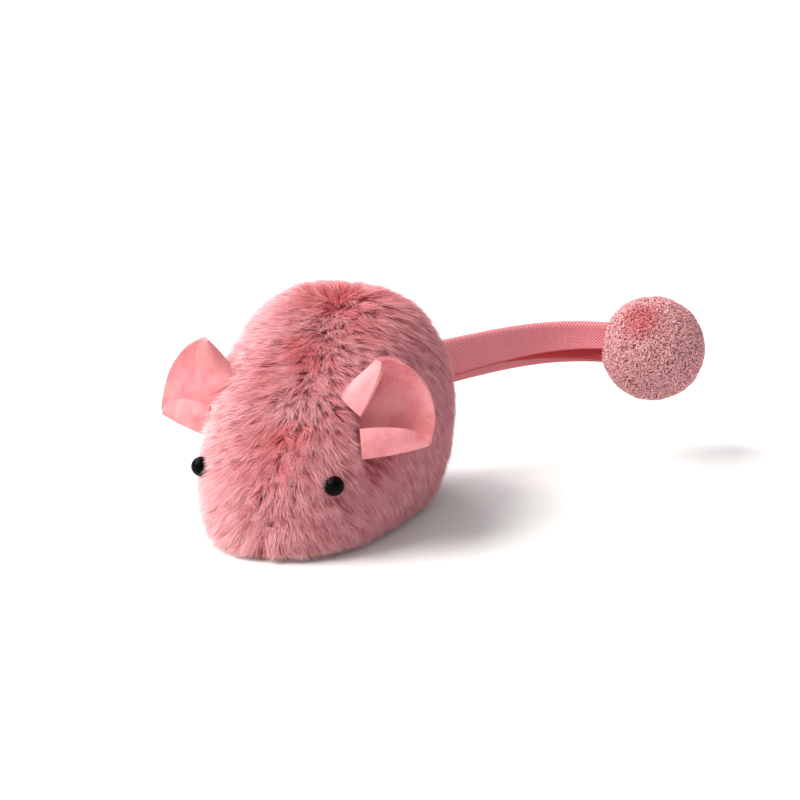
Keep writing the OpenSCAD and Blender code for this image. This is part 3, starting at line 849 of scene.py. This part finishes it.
@dataclass
class BodyForm:
    """The rounded body that the pile follows, from nose to rump and from hem to hem."""

    half_length: float
    half_width: float
    height: float
    hem: float
    wide_at: float = 0.3
    wide_powers: tuple[float, float] = (3.1, 1.6)
    high_at: float = 0.05
    high_powers: tuple[float, float] = (1.13, 2.6)
    belly: float = 0.35
    corner: float = 0.76
    roof: float = 0.7
    tuck: float = 0.22

    @classmethod
    def over(cls, node: str, proud: float) -> "BodyForm":
        """Fits the form over a CAD node.

        Args:
            node: The node's name.
            proud: How far the pile's tips stand over the node.

        Returns:
            The form at the pile's tips.
        """
        low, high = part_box(node)
        return cls(
            (high.y - low.y) / 2 + proud, (high.x - low.x) / 2 + proud, high.z + proud, low.z
        )

    def swell(self, t: Array, peak: float, powers: tuple[float, float]) -> Array:
        """Works out the share of the full width or height along the body.

        Args:
            t: Places from nose, -1, to rump, 1.
            peak: Where it is largest.
            powers: How it falls off before and behind the peak.

        Returns:
            Shares from 0 to 1.
        """
        u = np.where(t < peak, (peak - t) / (peak + 1), (t - peak) / (1 - peak))
        power = np.where(t < peak, powers[0], powers[1])
        return np.sqrt(np.maximum(0, 1 - np.minimum(u, 1) ** power))

    def point(self, inset: float | Array, t: Array, g: Array) -> Array:
        """Places points on the form.

        Args:
            inset: Depth below the pile's tips.
            t: Places from nose, -1, to rump, 1.
            g: Places from the right hem, -1, over the ridge to the left hem, 1.

        Returns:
            One point to a row.
        """
        half = (self.half_width - inset) * self.swell(t, self.wide_at, self.wide_powers)
        rise = (self.height - inset - self.hem) * self.swell(t, self.high_at, self.high_powers)
        mid = self.hem + self.belly * rise
        v = np.abs(g)
        a = math.pi / 2 * (1 - np.minimum(v / self.roof, 1))
        k = np.maximum(0, (v - self.roof) / (1 - self.roof))
        over = v <= self.roof
        x = half * np.where(over, np.cos(a) ** self.corner, 1 - self.tuck * k * k)
        arch = mid + (self.hem + rise - mid) * np.sin(a) ** self.corner
        z = np.where(over, arch, mid + (self.hem - mid) * k)
        return np.stack([np.sign(g) * x, t * (self.half_length - inset), z], -1)

    def normal(self, inset: float | Array, t: Array, g: Array) -> Array:
        """Works out the outward directions of the form.

        Args:
            inset: Depth below the pile's tips.
            t: Places from nose, -1, to rump, 1.
            g: Places from the right hem, -1, over the ridge to the left hem, 1.

        Returns:
            One direction to a row.
        """
        step, end = 0.004, 0.9999
        ahead = self.point(inset, np.minimum(t + step, end), g)
        along = ahead - self.point(inset, np.maximum(t - step, -end), g)
        left = self.point(inset, t, np.minimum(g + step, 1))
        around = left - self.point(inset, t, np.maximum(g - step, -1))
        normal = unit(np.cross(around, along))
        middle = np.array([0.0, 0.0, self.height * 0.4])
        out = self.point(inset, t, g) * np.array([1.0, 0.7, 1.0]) - middle
        return np.where((normal * out).sum(-1, keepdims=True) < 0, -normal, normal)

    def sow(self, rng: np.random.Generator, inset: float, count: int) -> tuple[Array, Array]:
        """Spreads roots evenly over the form.

        Args:
            rng: The random source.
            inset: Depth below the pile's tips.
            count: How many roots.

        Returns:
            The roots, and the outward directions there.
        """
        n = 240
        theta = np.linspace(0.02, math.pi - 0.02, n + 1)
        g = np.linspace(-1, 1, n + 1)
        tt, gg = np.meshgrid(-np.cos(theta), g, indexing="ij")
        grid = self.point(inset, tt.ravel(), gg.ravel()).reshape(n + 1, n + 1, 3)
        one, two = grid[1:, :-1] - grid[:-1, :-1], grid[:-1, 1:] - grid[:-1, :-1]
        area = np.linalg.norm(np.cross(one, two), axis=-1).ravel()
        cell = rng.choice(n * n, count, p=area / area.sum())
        step = rng.random((count, 2))
        place = theta[0] + (theta[-1] - theta[0]) * (cell // n + step[:, 0]) / n
        t, g = -np.cos(place), -1 + 2 * (cell % n + step[:, 1]) / n
        return self.point(inset, t, g), self.normal(inset, t, g)


@dataclass
class Locks:
    """Locks that fibres gather into: where they grow, how they lie and how they are coloured."""

    root: Array
    way: Array
    tip: Array
    tall: Array
    lean: Array
    # The tone carries painted light and shade by flank, and the red share the painted coral band.
    tone: Array
    dye_and_painted_light: Array
    settled: Array


@dataclass
class FurCover:
    """The pile cover: a knitted ground under brushed locks of fibre."""

    proud: float = 0.8 * MM
    ground_inset: float = 5.6 * MM
    pile: float = 5.0 * MM
    fibre_width: float = 0.115 * MM
    fibres: int = 215000
    lock_count: int = 14000
    panels: int = 8
    lean: float = 0.98
    gather: float = 0.16
    floor_gap: float = 0.4 * MM
    brushed_up: float = 0.3
    parting: float = 3.0 * MM
    overhang: float = 3.5 * MM
    arbor_room: float = 2.4 * MM
    tail_from: float = 24 * MM
    tail_slant: float = 0.75
    tail_slant_from: float = 31 * MM
    eye_gap: float = 2.0 * MM
    eye_fade: float = 2.4 * MM
    seam_gap: float = 1.2 * MM
    seam_fade: float = 3.6 * MM
    rows: int = 64
    columns: int = 72
    seed: int = 11
    seams: list[Array] = field(default_factory=list)
    form: BodyForm = field(init=False)

    def __post_init__(self) -> None:
        """Fits the form over the CAD cover."""
        self.form = BodyForm.over("fur_cover", self.proud)

    def flow(self, points: Array, normals: Array) -> Array:
        """Combs to both sides of a wavy parting on the ridge, down and a little back.

        Args:
            points: Places on the cover.
            normals: The outward directions there.

        Returns:
            One combing direction to a row.
        """
        wave = np.array([noise.noise(Vector(p) * 110) for p in points]) * 0.16
        side = (points[:, 0] - self.parting) / self.form.half_width + wave
        lateral = 0.95 * np.tanh(2.6 * side)
        way = np.stack([lateral, 0.08 + 0.4 * np.abs(side), np.full(len(points), -1.05)], -1)
        return across(way, normals)

    def dye_and_painted_light_share(self, points: Array) -> Array:
        """Shares out the coral, as painted light and shade in strong patches along the ridge of the
        head and back, where the lit flank meets the shaded one, and as weak wide random patches.

        Args:
            points: Places on the cover.

        Returns:
            Shares from 0 to 0.85.
        """
        # Painted light and shade: a saturated coral band on the parting, in patches, fading out
        # towards the rump and weaker at the nose.
        ridge = np.exp(-(((points[:, 0] - self.parting) / (6.0 * MM)) ** 2))
        fore = np.clip((20 * MM - points[:, 1]) / (12 * MM), 0, 1)
        fore *= np.clip((points[:, 1] + 38 * MM) / (12 * MM), 0.15, 1)
        patch = np.array([noise.noise(Vector(p) * 170) for p in points])
        wide = np.array([noise.noise(Vector(p) * 60 + Vector((7, 3, 1))) for p in points])
        share = ridge * fore * np.clip(0.6 + 1.3 * patch, 0, 1) + 0.25 * np.clip(wide, 0, 1)
        return np.clip(share, 0, 0.85)

    def way_out(self, points: Array, tail_room: float) -> Array:
        """Tells which places lie in the holes for the tail and the winding arbor.

        Args:
            points: Places on the cover.
            tail_room: Half the width of the tail's hole.

        Returns:
            True for each place inside a hole.
        """
        low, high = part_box("key_arbor")
        far = np.hypot(points[:, 1] - (low.y + high.y) / 2, points[:, 2] - (low.z + high.z) / 2)
        arbor = (far < self.arbor_room) & (points[:, 0] < 0)
        low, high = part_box("tail_strap")
        line = self.tail_slant * (points[:, 1] - self.tail_slant_from)
        tail = (np.abs(points[:, 0] - line) < tail_room) & (points[:, 1] > self.tail_from)
        tail &= (points[:, 2] > low.z - 0.5 * MM) & (points[:, 2] < high.z - self.overhang)
        return arbor | tail

    def clearing(self, points: Array) -> Array:
        """Shortens the pile round the eyes and the ears' seams, and clears the holes.

        Args:
            points: Places on the cover.

        Returns:
            The share of full length that is left at each place.
        """
        left = np.ones(len(points))
        for node, sign in (("eye_left", 1), ("eye_right", -1)):
            low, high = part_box(node)
            radius = (high.z - low.z) / 2
            outer = high.x if sign > 0 else low.x
            centre = np.array([outer - sign * radius, low.y + radius, (low.z + high.z) / 2])
            far = np.linalg.norm(points - centre, axis=1)
            left = np.minimum(left, np.clip((far - self.eye_gap) / self.eye_fade, 0.6, 1))
        far = nearest(np.concatenate(self.seams), points)[1]
        left = np.minimum(left, np.clip((far - self.seam_gap) / self.seam_fade, 0.3, 1))
        return np.where(self.way_out(points, 1.8 * MM), 0.0, left)

    def locks(self, rng: np.random.Generator) -> Locks:
        """Lays out the locks, neat on the flanks and stray along the parting.

        Args:
            rng: The random source.

        Returns:
            The locks of the whole cover.
        """
        count = self.lock_count
        root, up = self.form.sow(rng, self.ground_inset, count)
        settled = np.clip(np.abs(root[:, 0] - self.parting) / (7 * MM), 0, 1)
        stray = rng.normal(0, 1, root.shape) * (0.6 - 0.43 * settled)[:, None]
        way = across(self.flow(root, up) + stray, up)
        tall = self.pile * rng.uniform(0.9, 1.04, count)
        lean = self.lean * rng.uniform(0.75, 1.25, count)
        # Painted light and shade: the tone rises on the right flank (x < 0), which faces the key
        # light, and falls on the left flank.
        painted_side_light = -0.55 * root[:, 0] / self.form.half_width
        tone = rng.uniform(0.25, 0.75, count) + painted_side_light
        tip = root + up * tall[:, None] + way * (tall * lean)[:, None]
        return Locks(root, way, tip, tall, lean, tone, self.dye_and_painted_light_share(root), settled)

    def grow(self) -> Fibres:
        """Grows all the fibres, each bent over from its root and drawn towards its lock's tip.

        Returns:
            The fibres of the whole cover.
        """
        rng = np.random.default_rng(self.seed)
        locks = self.locks(rng)
        count = self.fibres
        root, up = self.form.sow(rng, self.ground_inset, count)
        own = nearest(locks.root, root)[0]
        way = across(locks.way[own] + rng.normal(0, 0.17, root.shape), up)
        clear = self.clearing(root)
        flank = np.clip(1.4 * root[:, 0] / self.form.half_width, 0, 1)
        flank *= np.clip((root[:, 2] - 14 * MM) / (14 * MM), 0, 1)
        tall = locks.tall[own] * rng.uniform(0.88, 1.06, count) * clear
        tall *= 1 + self.brushed_up * flank
        lean = locks.lean[own] * rng.uniform(0.8, 1.2, count)
        pull = self.gather * rng.uniform(0.5, 1.2, count) * clear * (1 + 1.3 * flank)
        pull *= 0.35 + 0.65 * locks.settled[own]

        # Fibres at the hem are shortened until they hang clear of the floor.
        fall = root[:, 2] - (root + up * tall[:, None] + way * (tall * lean)[:, None])[:, 2]
        room = np.maximum(root[:, 2] - self.floor_gap, 0.1 * MM)
        tall *= np.clip(room / np.maximum(fall, 1e-6), 0.3, 1)
        tip = root + up * tall[:, None] + way * (tall * lean)[:, None]

        paths = []
        for s in (0.0, 0.36, 0.7, 1.0):
            rise = math.sin(s * 1.35) / math.sin(1.35)
            free = root + up * (tall * rise)[:, None] + way * (tall * lean * s**1.6)[:, None]
            paths.append(free + (locks.tip[own] - tip) * (pull * s * s)[:, None])
        path = np.stack(paths, 1)
        path[:, :, 2] = np.maximum(path[:, :, 2], self.floor_gap)

        trend = unit(path[:, -1] - path[:, 0])
        facing = across(up, trend)
        turn = rng.uniform(-1.1, 1.1, count)[:, None]
        side = np.cross(trend, facing) * np.cos(turn) + facing * np.sin(turn)
        tone = np.clip(locks.tone[own] + rng.normal(0, 0.16, count), 0, 1)
        dye_and_painted_light = np.clip(locks.dye_and_painted_light[own] + rng.normal(0, 0.07, count), 0, 1)
        grown = Fibres(path, side, self.fibre_width, 0.7, tone, dye_and_painted_light)
        return grown.part(np.flatnonzero(clear > 0))

    def build(self) -> list[bpy.types.Object]:
        """Makes the ground and the panels of pile.

        Returns:
            The pieces, the ground first.
        """
        t = -np.cos(np.linspace(0.03, math.pi - 0.03, self.rows))
        tt, gg = np.meshgrid(t, np.linspace(-1, 1, self.columns), indexing="ij")
        points = self.form.point(self.ground_inset + 0.2 * MM, tt.ravel(), gg.ravel())
        faces = grid_faces(self.rows, self.columns)
        open_way = self.way_out(points[faces].mean(1), 2.8 * MM)
        ground = mesh_piece("cover_ground", points, [faces[~open_way]])
        put_on(ground, GROUND, "housing")
        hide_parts("fur_cover")
        pile = self.grow()
        order = np.argsort(pile.paths[:, 0, 1])
        pieces = [ground]
        for i, chosen in enumerate(np.array_split(order, self.panels)):
            panel = pile.part(chosen).piece(f"pile_panel_{i + 1}")
            put_on(panel, PILE, "housing")
            pieces.append(panel)
        return pieces


# ---- ears ----


def smooth_curve(knots: Array, count: int) -> Array:
    """Draws a smooth curve through knots.

    Args:
        knots: Points, or rows of points, along the first axis.
        count: How many points to return.

    Returns:
        The curve's points along the first axis.
    """
    last = len(knots) - 1
    t = np.linspace(0, last, count)
    i = np.minimum(t.astype(int), last - 1)
    f = (t - i).reshape((-1,) + (1,) * (knots.ndim - 1))
    before, after = knots[np.maximum(i - 1, 0)], knots[np.minimum(i + 2, last)]
    here, there = knots[i], knots[i + 1]
    return 0.5 * (
        2 * here
        + (there - before) * f
        + (2 * before - 5 * here + 4 * there - after) * f**2
        + (3 * here - before - 3 * there + after) * f**3
    )


@dataclass
class FeltEar:
    """A felt ear, cut as a rounded leaf and sewn in as a cup.

    Its front edge is rolled over and its lower edge turned up. The knots run from the
    lower edge round the back to the rolled front edge. Each one is the place out from
    the head, forward and up, in millimetres.
    """

    side: int
    turned: float = 0.0
    ledge: float = 1.0
    back: float = 26.0
    thick: float = 1.0 * MM
    rows: int = 22
    columns: int = 64
    root: tuple[tuple[float, float, float], ...] = (
        (6.7, 31.0, 28.8), (7.0, 31.6, 25.6), (7.2, 29.6, 22.2), (7.0, 26.5, 22.2),
        (6.5, 24.0, 26.5), (6.0, 22.5, 30.5), (4.8, 22.0, 33.2), (3.2, 23.2, 34.6),
        (3.4, 26.2, 33.6), (7.0, 28.6, 30.9),
    )
    middle: tuple[tuple[float, float, float], ...] = (
        (16.3, 31.0, 28.8), (15.9, 31.0, 26.0), (15.4, 28.8, 23.2), (16.2, 25.4, 23.6),
        (17.0, 22.6, 28.4), (15.6, 21.2, 33.8), (12.4, 20.8, 37.6), (8.6, 22.0, 39.2),
        (7.0, 25.0, 38.2), (10.4, 28.0, 38.2),
    )
    rim: tuple[tuple[float, float, float], ...] = (
        (20.9, 28.6, 25.6), (21.4, 28.0, 24.9), (21.9, 26.8, 24.5), (22.7, 25.0, 25.6),
        (23.3, 23.0, 30.0), (21.8, 22.0, 35.2), (18.2, 21.8, 39.6), (13.6, 22.2, 42.2),
        (10.6, 24.2, 42.3), (11.5, 25.6, 42.0),
    )

    def node(self) -> str:
        """Returns the CAD node that the ear stands for."""
        return "ear_left" if self.side > 0 else "ear_right"

    def surface(self) -> Array:
        """Draws the felt's middle surface.

        Returns:
            A grid of points, by row from the root to the rim.
        """
        a = math.radians(self.back)
        frame = np.array(
            [[math.cos(a), math.sin(a), 0], [math.sin(a), -math.cos(a), 0], [0, 0, 1]]
        )
        leaf = np.array([self.root, self.middle, self.rim])
        flat = leaf[:, 3:4, 1]
        leaf[:, :3, 1] = flat + self.ledge * (leaf[:, :3, 1] - flat)
        cage = leaf * MM @ frame
        pivot = cage[0].mean(0)
        b = math.radians(self.turned)
        spin = np.array(
            [[math.cos(b), math.sin(b), 0], [-math.sin(b), math.cos(b), 0], [0, 0, 1]]
        )
        cage = (cage - pivot) @ spin.T + pivot
        cage[..., 0] *= self.side
        across_cage = smooth_curve(cage.transpose(1, 0, 2), self.columns)
        r, m, e = across_cage[:, 0], across_cage[:, 1], across_cage[:, 2]
        u = np.linspace(0, 1, self.rows)[:, None, None]
        return r * (1 - u) * (1 - 2 * u) + m * 4 * u * (1 - u) + e * u * (2 * u - 1)

    def build(self) -> bpy.types.Object:
        """Makes the ear where the CAD ear is.

        Returns:
            The ear.
        """
        points = self.surface()
        faces = grid_faces(self.rows, self.columns)
        ear = mesh_piece(
            f"felt_ear_{'left' if self.side > 0 else 'right'}",
            points.reshape(-1, 3),
            [faces if self.side > 0 else faces[:, ::-1]],
        )
        thicken(ear, "felt", self.thick)
        soften = ear.modifiers.new("cut_edge", "BEVEL")
        soften.width = self.thick * 0.3
        soften.segments = 2
        soften.angle_limit = math.radians(50)
        put_on(ear, FELT, "housing")
        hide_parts(self.node())
        return ear


# ---- tail ----


@dataclass
class TailStrap:
    """A strip of twill webbing, folded lengthwise over a spring strip.

    Its far layer hangs deeper than the near one, and its root wraps the hinge's plug.
    """

    thick: float = 0.95 * MM
    spread: float = 0.9 * MM
    flare: float = 0.8 * MM
    tape: float = 0.5 * MM
    plug_radius: float = 2.75 * MM
    root_deep: float = 7.8 * MM
    root_low: float = 0.3 * MM
    lift: tuple[float, float] = (-1.4 * MM, 0.8 * MM)
    near_deep: tuple[float, float] = (9.6 * MM, 6.3 * MM)
    far_deep: tuple[float, float] = (11.6 * MM, 10.2 * MM)
    stations: int = 90
    tape_stations: int = 60
    tape_rungs: int = 9
    tape_thick: float = 0.3 * MM
    tape_over: float = 0.5 * MM
    tape_under: float = 0.7 * MM
    run: tuple[tuple[float, float], ...] = (
        (2.667, 34.04),
        (15.8, 50.8),
        (20.0, 78.8),
        (43.5, 77.8),
    )

    def centre(self, t: Array) -> tuple[Array, Array]:
        """Places points along the strap's run in plan.

        Args:
            t: Shares of the run, which may start a little before 0.

        Returns:
            The points, and the sideways directions there.
        """
        p = np.array(self.run) * MM
        t = t[:, None]
        place = (
            (1 - t) ** 3 * p[0]
            + 3 * t * (1 - t) ** 2 * p[1]
            + 3 * t * t * (1 - t) * p[2]
            + t**3 * p[3]
        )
        slope = 3 * (
            (1 - t) ** 2 * (p[1] - p[0]) + 2 * t * (1 - t) * (p[2] - p[1]) + t * t * (p[3] - p[2])
        )
        slope = unit(slope)
        return place, np.stack([-slope[:, 1], slope[:, 0]], -1)

    def girth_at_root(self, place: Array) -> Array:
        """Works out half widths of the fold, which opens at its root to wrap the plug.

        Args:
            place: Points of the run in plan.

        Returns:
            One half width for each point.
        """
        low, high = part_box("tail_pin")
        pivot = np.array([(low.x + high.x) / 2, (low.y + high.y) / 2])
        start = np.array(self.run[0]) * MM - pivot
        reach = (place - pivot) @ unit(start)
        wrap = np.sqrt(np.maximum(self.plug_radius**2 - reach**2, self.tape**2))
        taper = np.interp(reach, [0, np.linalg.norm(start)], [self.plug_radius, self.spread])
        return np.where(reach < 0, wrap, taper)

    def profile(self, high: float, near_deep: float, far_deep: float) -> Array:
        """Draws the fold's cross-section, from the near layer's hem over the top to the far one's.

        Args:
            high: Height of the fold.
            near_deep: Depth of the near layer below the fold.
            far_deep: Depth of the far layer below the fold.

        Returns:
            Sideways place and height, one point to a row.
        """
        bend = np.linspace(math.pi, 0, 11)[1:-1]
        crown = high - self.thick / 2 - self.spread
        drop = np.linspace(1, 0, 16)
        near = np.stack(
            [-self.spread - self.flare * drop**2, crown - drop * (near_deep - self.spread)], -1
        )
        top = np.stack([self.spread * np.cos(bend), crown + self.spread * np.sin(bend)], -1)
        drop = np.linspace(0, 1, 20)
        far = np.stack([np.full(20, self.spread), crown - drop * (far_deep - self.spread)], -1)
        return np.concatenate([near, top, far])

    def binding(self) -> bpy.types.Object:
        """Makes the red tape that is folded over the spring strip, inside the strap.

        Returns:
            The tape.
        """
        low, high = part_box("tail_core")
        place, side = self.centre(np.linspace(0.12, 0.99, self.tape_stations))
        bottom = low.z - self.tape_under
        rise = np.linspace(0, high.z + self.tape_over - bottom, self.tape_rungs)
        near = np.stack([np.full(self.tape_rungs, -self.tape), bottom + rise], -1)
        section = np.concatenate([near, near[::-1] * np.array([-1, 1])])
        flat = section[:, 0][None, :, None] * side[:, None, :] + place[:, None, :]
        height = np.broadcast_to(section[:, 1:], (*flat.shape[:2], 1))
        points = np.concatenate([flat, height], -1).reshape(-1, 3)
        tape = mesh_piece("strap_binding", points, [grid_faces(*flat.shape[:2])])
        mark(tape, "cloth", points[:, [0, 2, 1]])
        thicken(tape, "tape", self.tape_thick)
        put_on(tape, TAPE, "tail")
        return tape

    def build(self) -> bpy.types.Object:
        """Makes the strap along the CAD strap.

        Returns:
            The strap.
        """
        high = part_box("tail_strap")[1].z
        t = np.linspace(-0.11, 1.0, self.stations)
        place, side = self.centre(t)
        ends = np.array([self.lift, self.near_deep, self.far_deep])
        sizes = ends[:, :1] + (ends[:, 1:] - ends[:, :1]) * t
        wide = self.girth_at_root(place)
        rooted = np.clip((wide / self.spread - 1) / 0.5, 0, 1)
        sizes[0] -= self.root_low * rooted
        sizes[1:] += (self.root_deep - sizes[1:]) * rooted
        sections = np.stack([self.profile(high + a, b, c) for a, b, c in sizes.T])
        closed = np.clip(sections[..., 0], -self.spread, self.spread)
        closed *= (wide / self.spread)[:, None]
        sections[..., 0] += rooted[:, None] * (closed - sections[..., 0])
        flat = sections[..., 0, None] * side[:, None, :] + place[:, None, :]
        points = np.concatenate([flat, sections[..., 1:]], -1)
        count = sections.shape[1]
        strap = mesh_piece(
            "twill_strap", points.reshape(-1, 3), [grid_faces(self.stations, count)]
        )
        run = np.concatenate([[0], np.cumsum(np.linalg.norm(np.diff(place, axis=0), axis=1))])
        middle = np.diff(sections[self.stations // 2], axis=0)
        girth = np.concatenate([[0], np.cumsum(np.linalg.norm(middle, axis=1))])
        cloth = np.zeros((self.stations, count, 3))
        cloth[:, :, 0], cloth[:, :, 1] = run[:, None], girth[None, :]
        mark(strap, "cloth", cloth.reshape(-1, 3))
        thicken(strap, "webbing", self.thick)
        put_on(strap, TWILL, "tail")
        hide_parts("tail_strap")
        return strap


@dataclass
class Tuft:
    """The round tuft at the tail's end: a core covered in short curled loops."""

    curls: int = 26000
    curl_length: float = 1.2 * MM
    yarn: float = 0.23 * MM
    further: float = 0.8 * MM
    dimple: float = 2.8 * MM
    lump: float = 0.2 * MM
    dimple_way: tuple[float, float, float] = (-1.0, -0.1, 0.1)
    # Which way the patch of red painted light faces.
    painted_light_way: tuple[float, float, float] = (-0.06, -0.64, 0.66)
    seed: int = 23
    centre: Array = field(init=False)
    radius: float = field(init=False)

    def __post_init__(self) -> None:
        """Takes the place and size of the CAD ball."""
        low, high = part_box("tail_ball")
        self.centre = np.array((low + high) / 2) + np.array([self.further, 0, 0])
        self.radius = (high.z - low.z) / 2

    def reach(self, way: Array) -> Array:
        """Works out how far the tuft's ground lies from its centre.

        Args:
            way: Directions from the centre, one to a row.

        Returns:
            The distances, with the strap's dimple and small lumps.
        """
        dent = np.clip((way @ unit(np.array(self.dimple_way)) - 0.88) / 0.12, 0, 1)
        lumps = np.array([noise.noise(Vector(w) * 3.0) for w in way])
        return self.radius - dent * self.dimple + lumps * self.lump

    def loops(self) -> bpy.types.Object:
        """Makes the curled loops, with red painted light in a patch on the upper front.

        Returns:
            The loops.
        """
        rng = np.random.default_rng(self.seed)
        way = unit(rng.normal(0, 1, (self.curls, 3)))
        root = self.centre + way * (self.reach(way) - 0.05 * MM)[:, None]
        swirl = across(rng.normal(0, 1, way.shape), way)
        other = np.cross(way, swirl)
        length = self.curl_length * rng.uniform(0.7, 1.15, self.curls)
        paths = []
        for s in np.linspace(0, 1, 5):
            out = way * (length * math.sin(s * 2.3))[:, None]
            round_about = swirl * (0.385 * length * (1 - math.cos(s * 3.2)))[:, None]
            aside = other * (0.3 * length * math.sin(s * 5.0))[:, None]
            paths.append(root + out + round_about + aside)
        path = np.stack(paths, 1)
        trend = unit(path[:, 2] - path[:, 0])
        side = across(rng.normal(0, 1, way.shape) * 0.7 + other, trend)
        tone = rng.uniform(0, 1, self.curls)
        # Painted light: a saturated red patch where the tuft faces up towards the light, of varying
        # strength.
        painted_light_patch = np.clip((way @ unit(np.array(self.painted_light_way)) - 0.87) / 0.12, 0, 1)
        painted_light_patch *= rng.uniform(0.25, 0.95, self.curls)
        return Fibres(path, side, self.yarn, 0.25, tone, painted_light_patch).piece("tuft_curls")

    def core(self) -> bpy.types.Object:
        """Makes the padded core under the loops.

        Returns:
            The core.
        """
        mesh = bpy.data.meshes.new("tuft_core")
        shape = bmesh.new()
        bmesh.ops.create_icosphere(shape, subdivisions=5, radius=1.0)
        way = np.array([v.co for v in shape.verts])
        for vertex, place in zip(shape.verts, way * (self.reach(way) + 0.2 * MM)[:, None]):
            vertex.co = Vector(self.centre + place)
        shape.to_mesh(mesh)
        shape.free()
        # The core takes the yarn's colour a quarter from root to tip, so part of its painted shade,
        # and none of its painted red.
        for name, value in (("along", 0.25), ("tone", 0.3), ("dye_and_painted_light", 0.0)):
            layer = mesh.attributes.new(name, "FLOAT", "POINT")
            layer.data.foreach_set("value", np.full(len(way), value, np.float32))
        return stand("tuft_core", mesh)

    def build(self) -> list[bpy.types.Object]:
        """Makes the core and the curls on the CAD ball.

        Returns:
            The core, then the curls.
        """
        curls, core = self.loops(), self.core()
        for piece in (core, curls):
            put_on(piece, YARN, "tail")
        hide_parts("tail_ball")
        return [core, curls]


# ---- frame ----


def dress_frame(frame: dict) -> int:
    """Gives every carried-over CAD node the finish of its material slot.


    Returns:
        How many nodes were dressed.
    """
    wears = {part["node"]: part["material_slot"] for part in frame["record"]["subparts"]}
    for name, piece in frame["nodes"].items():
        FINISHES[wears[name]].wear(piece)
    return len(wears)


def main() -> None:
    """Builds the studio and every sub-assembly, in order."""
    logging.basicConfig(level=logging.INFO, format="%(name)s: %(message)s")
    for stray in list(bpy.data.objects):
        bpy.data.objects.remove(stray)
    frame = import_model()
    Studio().build()
    log.info("dressed %d CAD nodes", dress_frame(frame))
    ears = [FeltEar(1), FeltEar(-1, turned=18.0, ledge=0.35)]
    pieces = FurCover(seams=[ear.surface()[::3, ::2].reshape(-1, 3) for ear in ears]).build()
    pieces += [ear.build() for ear in ears]
    strap = TailStrap()
    pieces += [strap.build(), strap.binding()]
    pieces += Tuft().build()
    for piece in pieces:
        log.info("%s has %d faces", piece.name, len(piece.data.polygons))


if __name__ == "__main__":
    main()
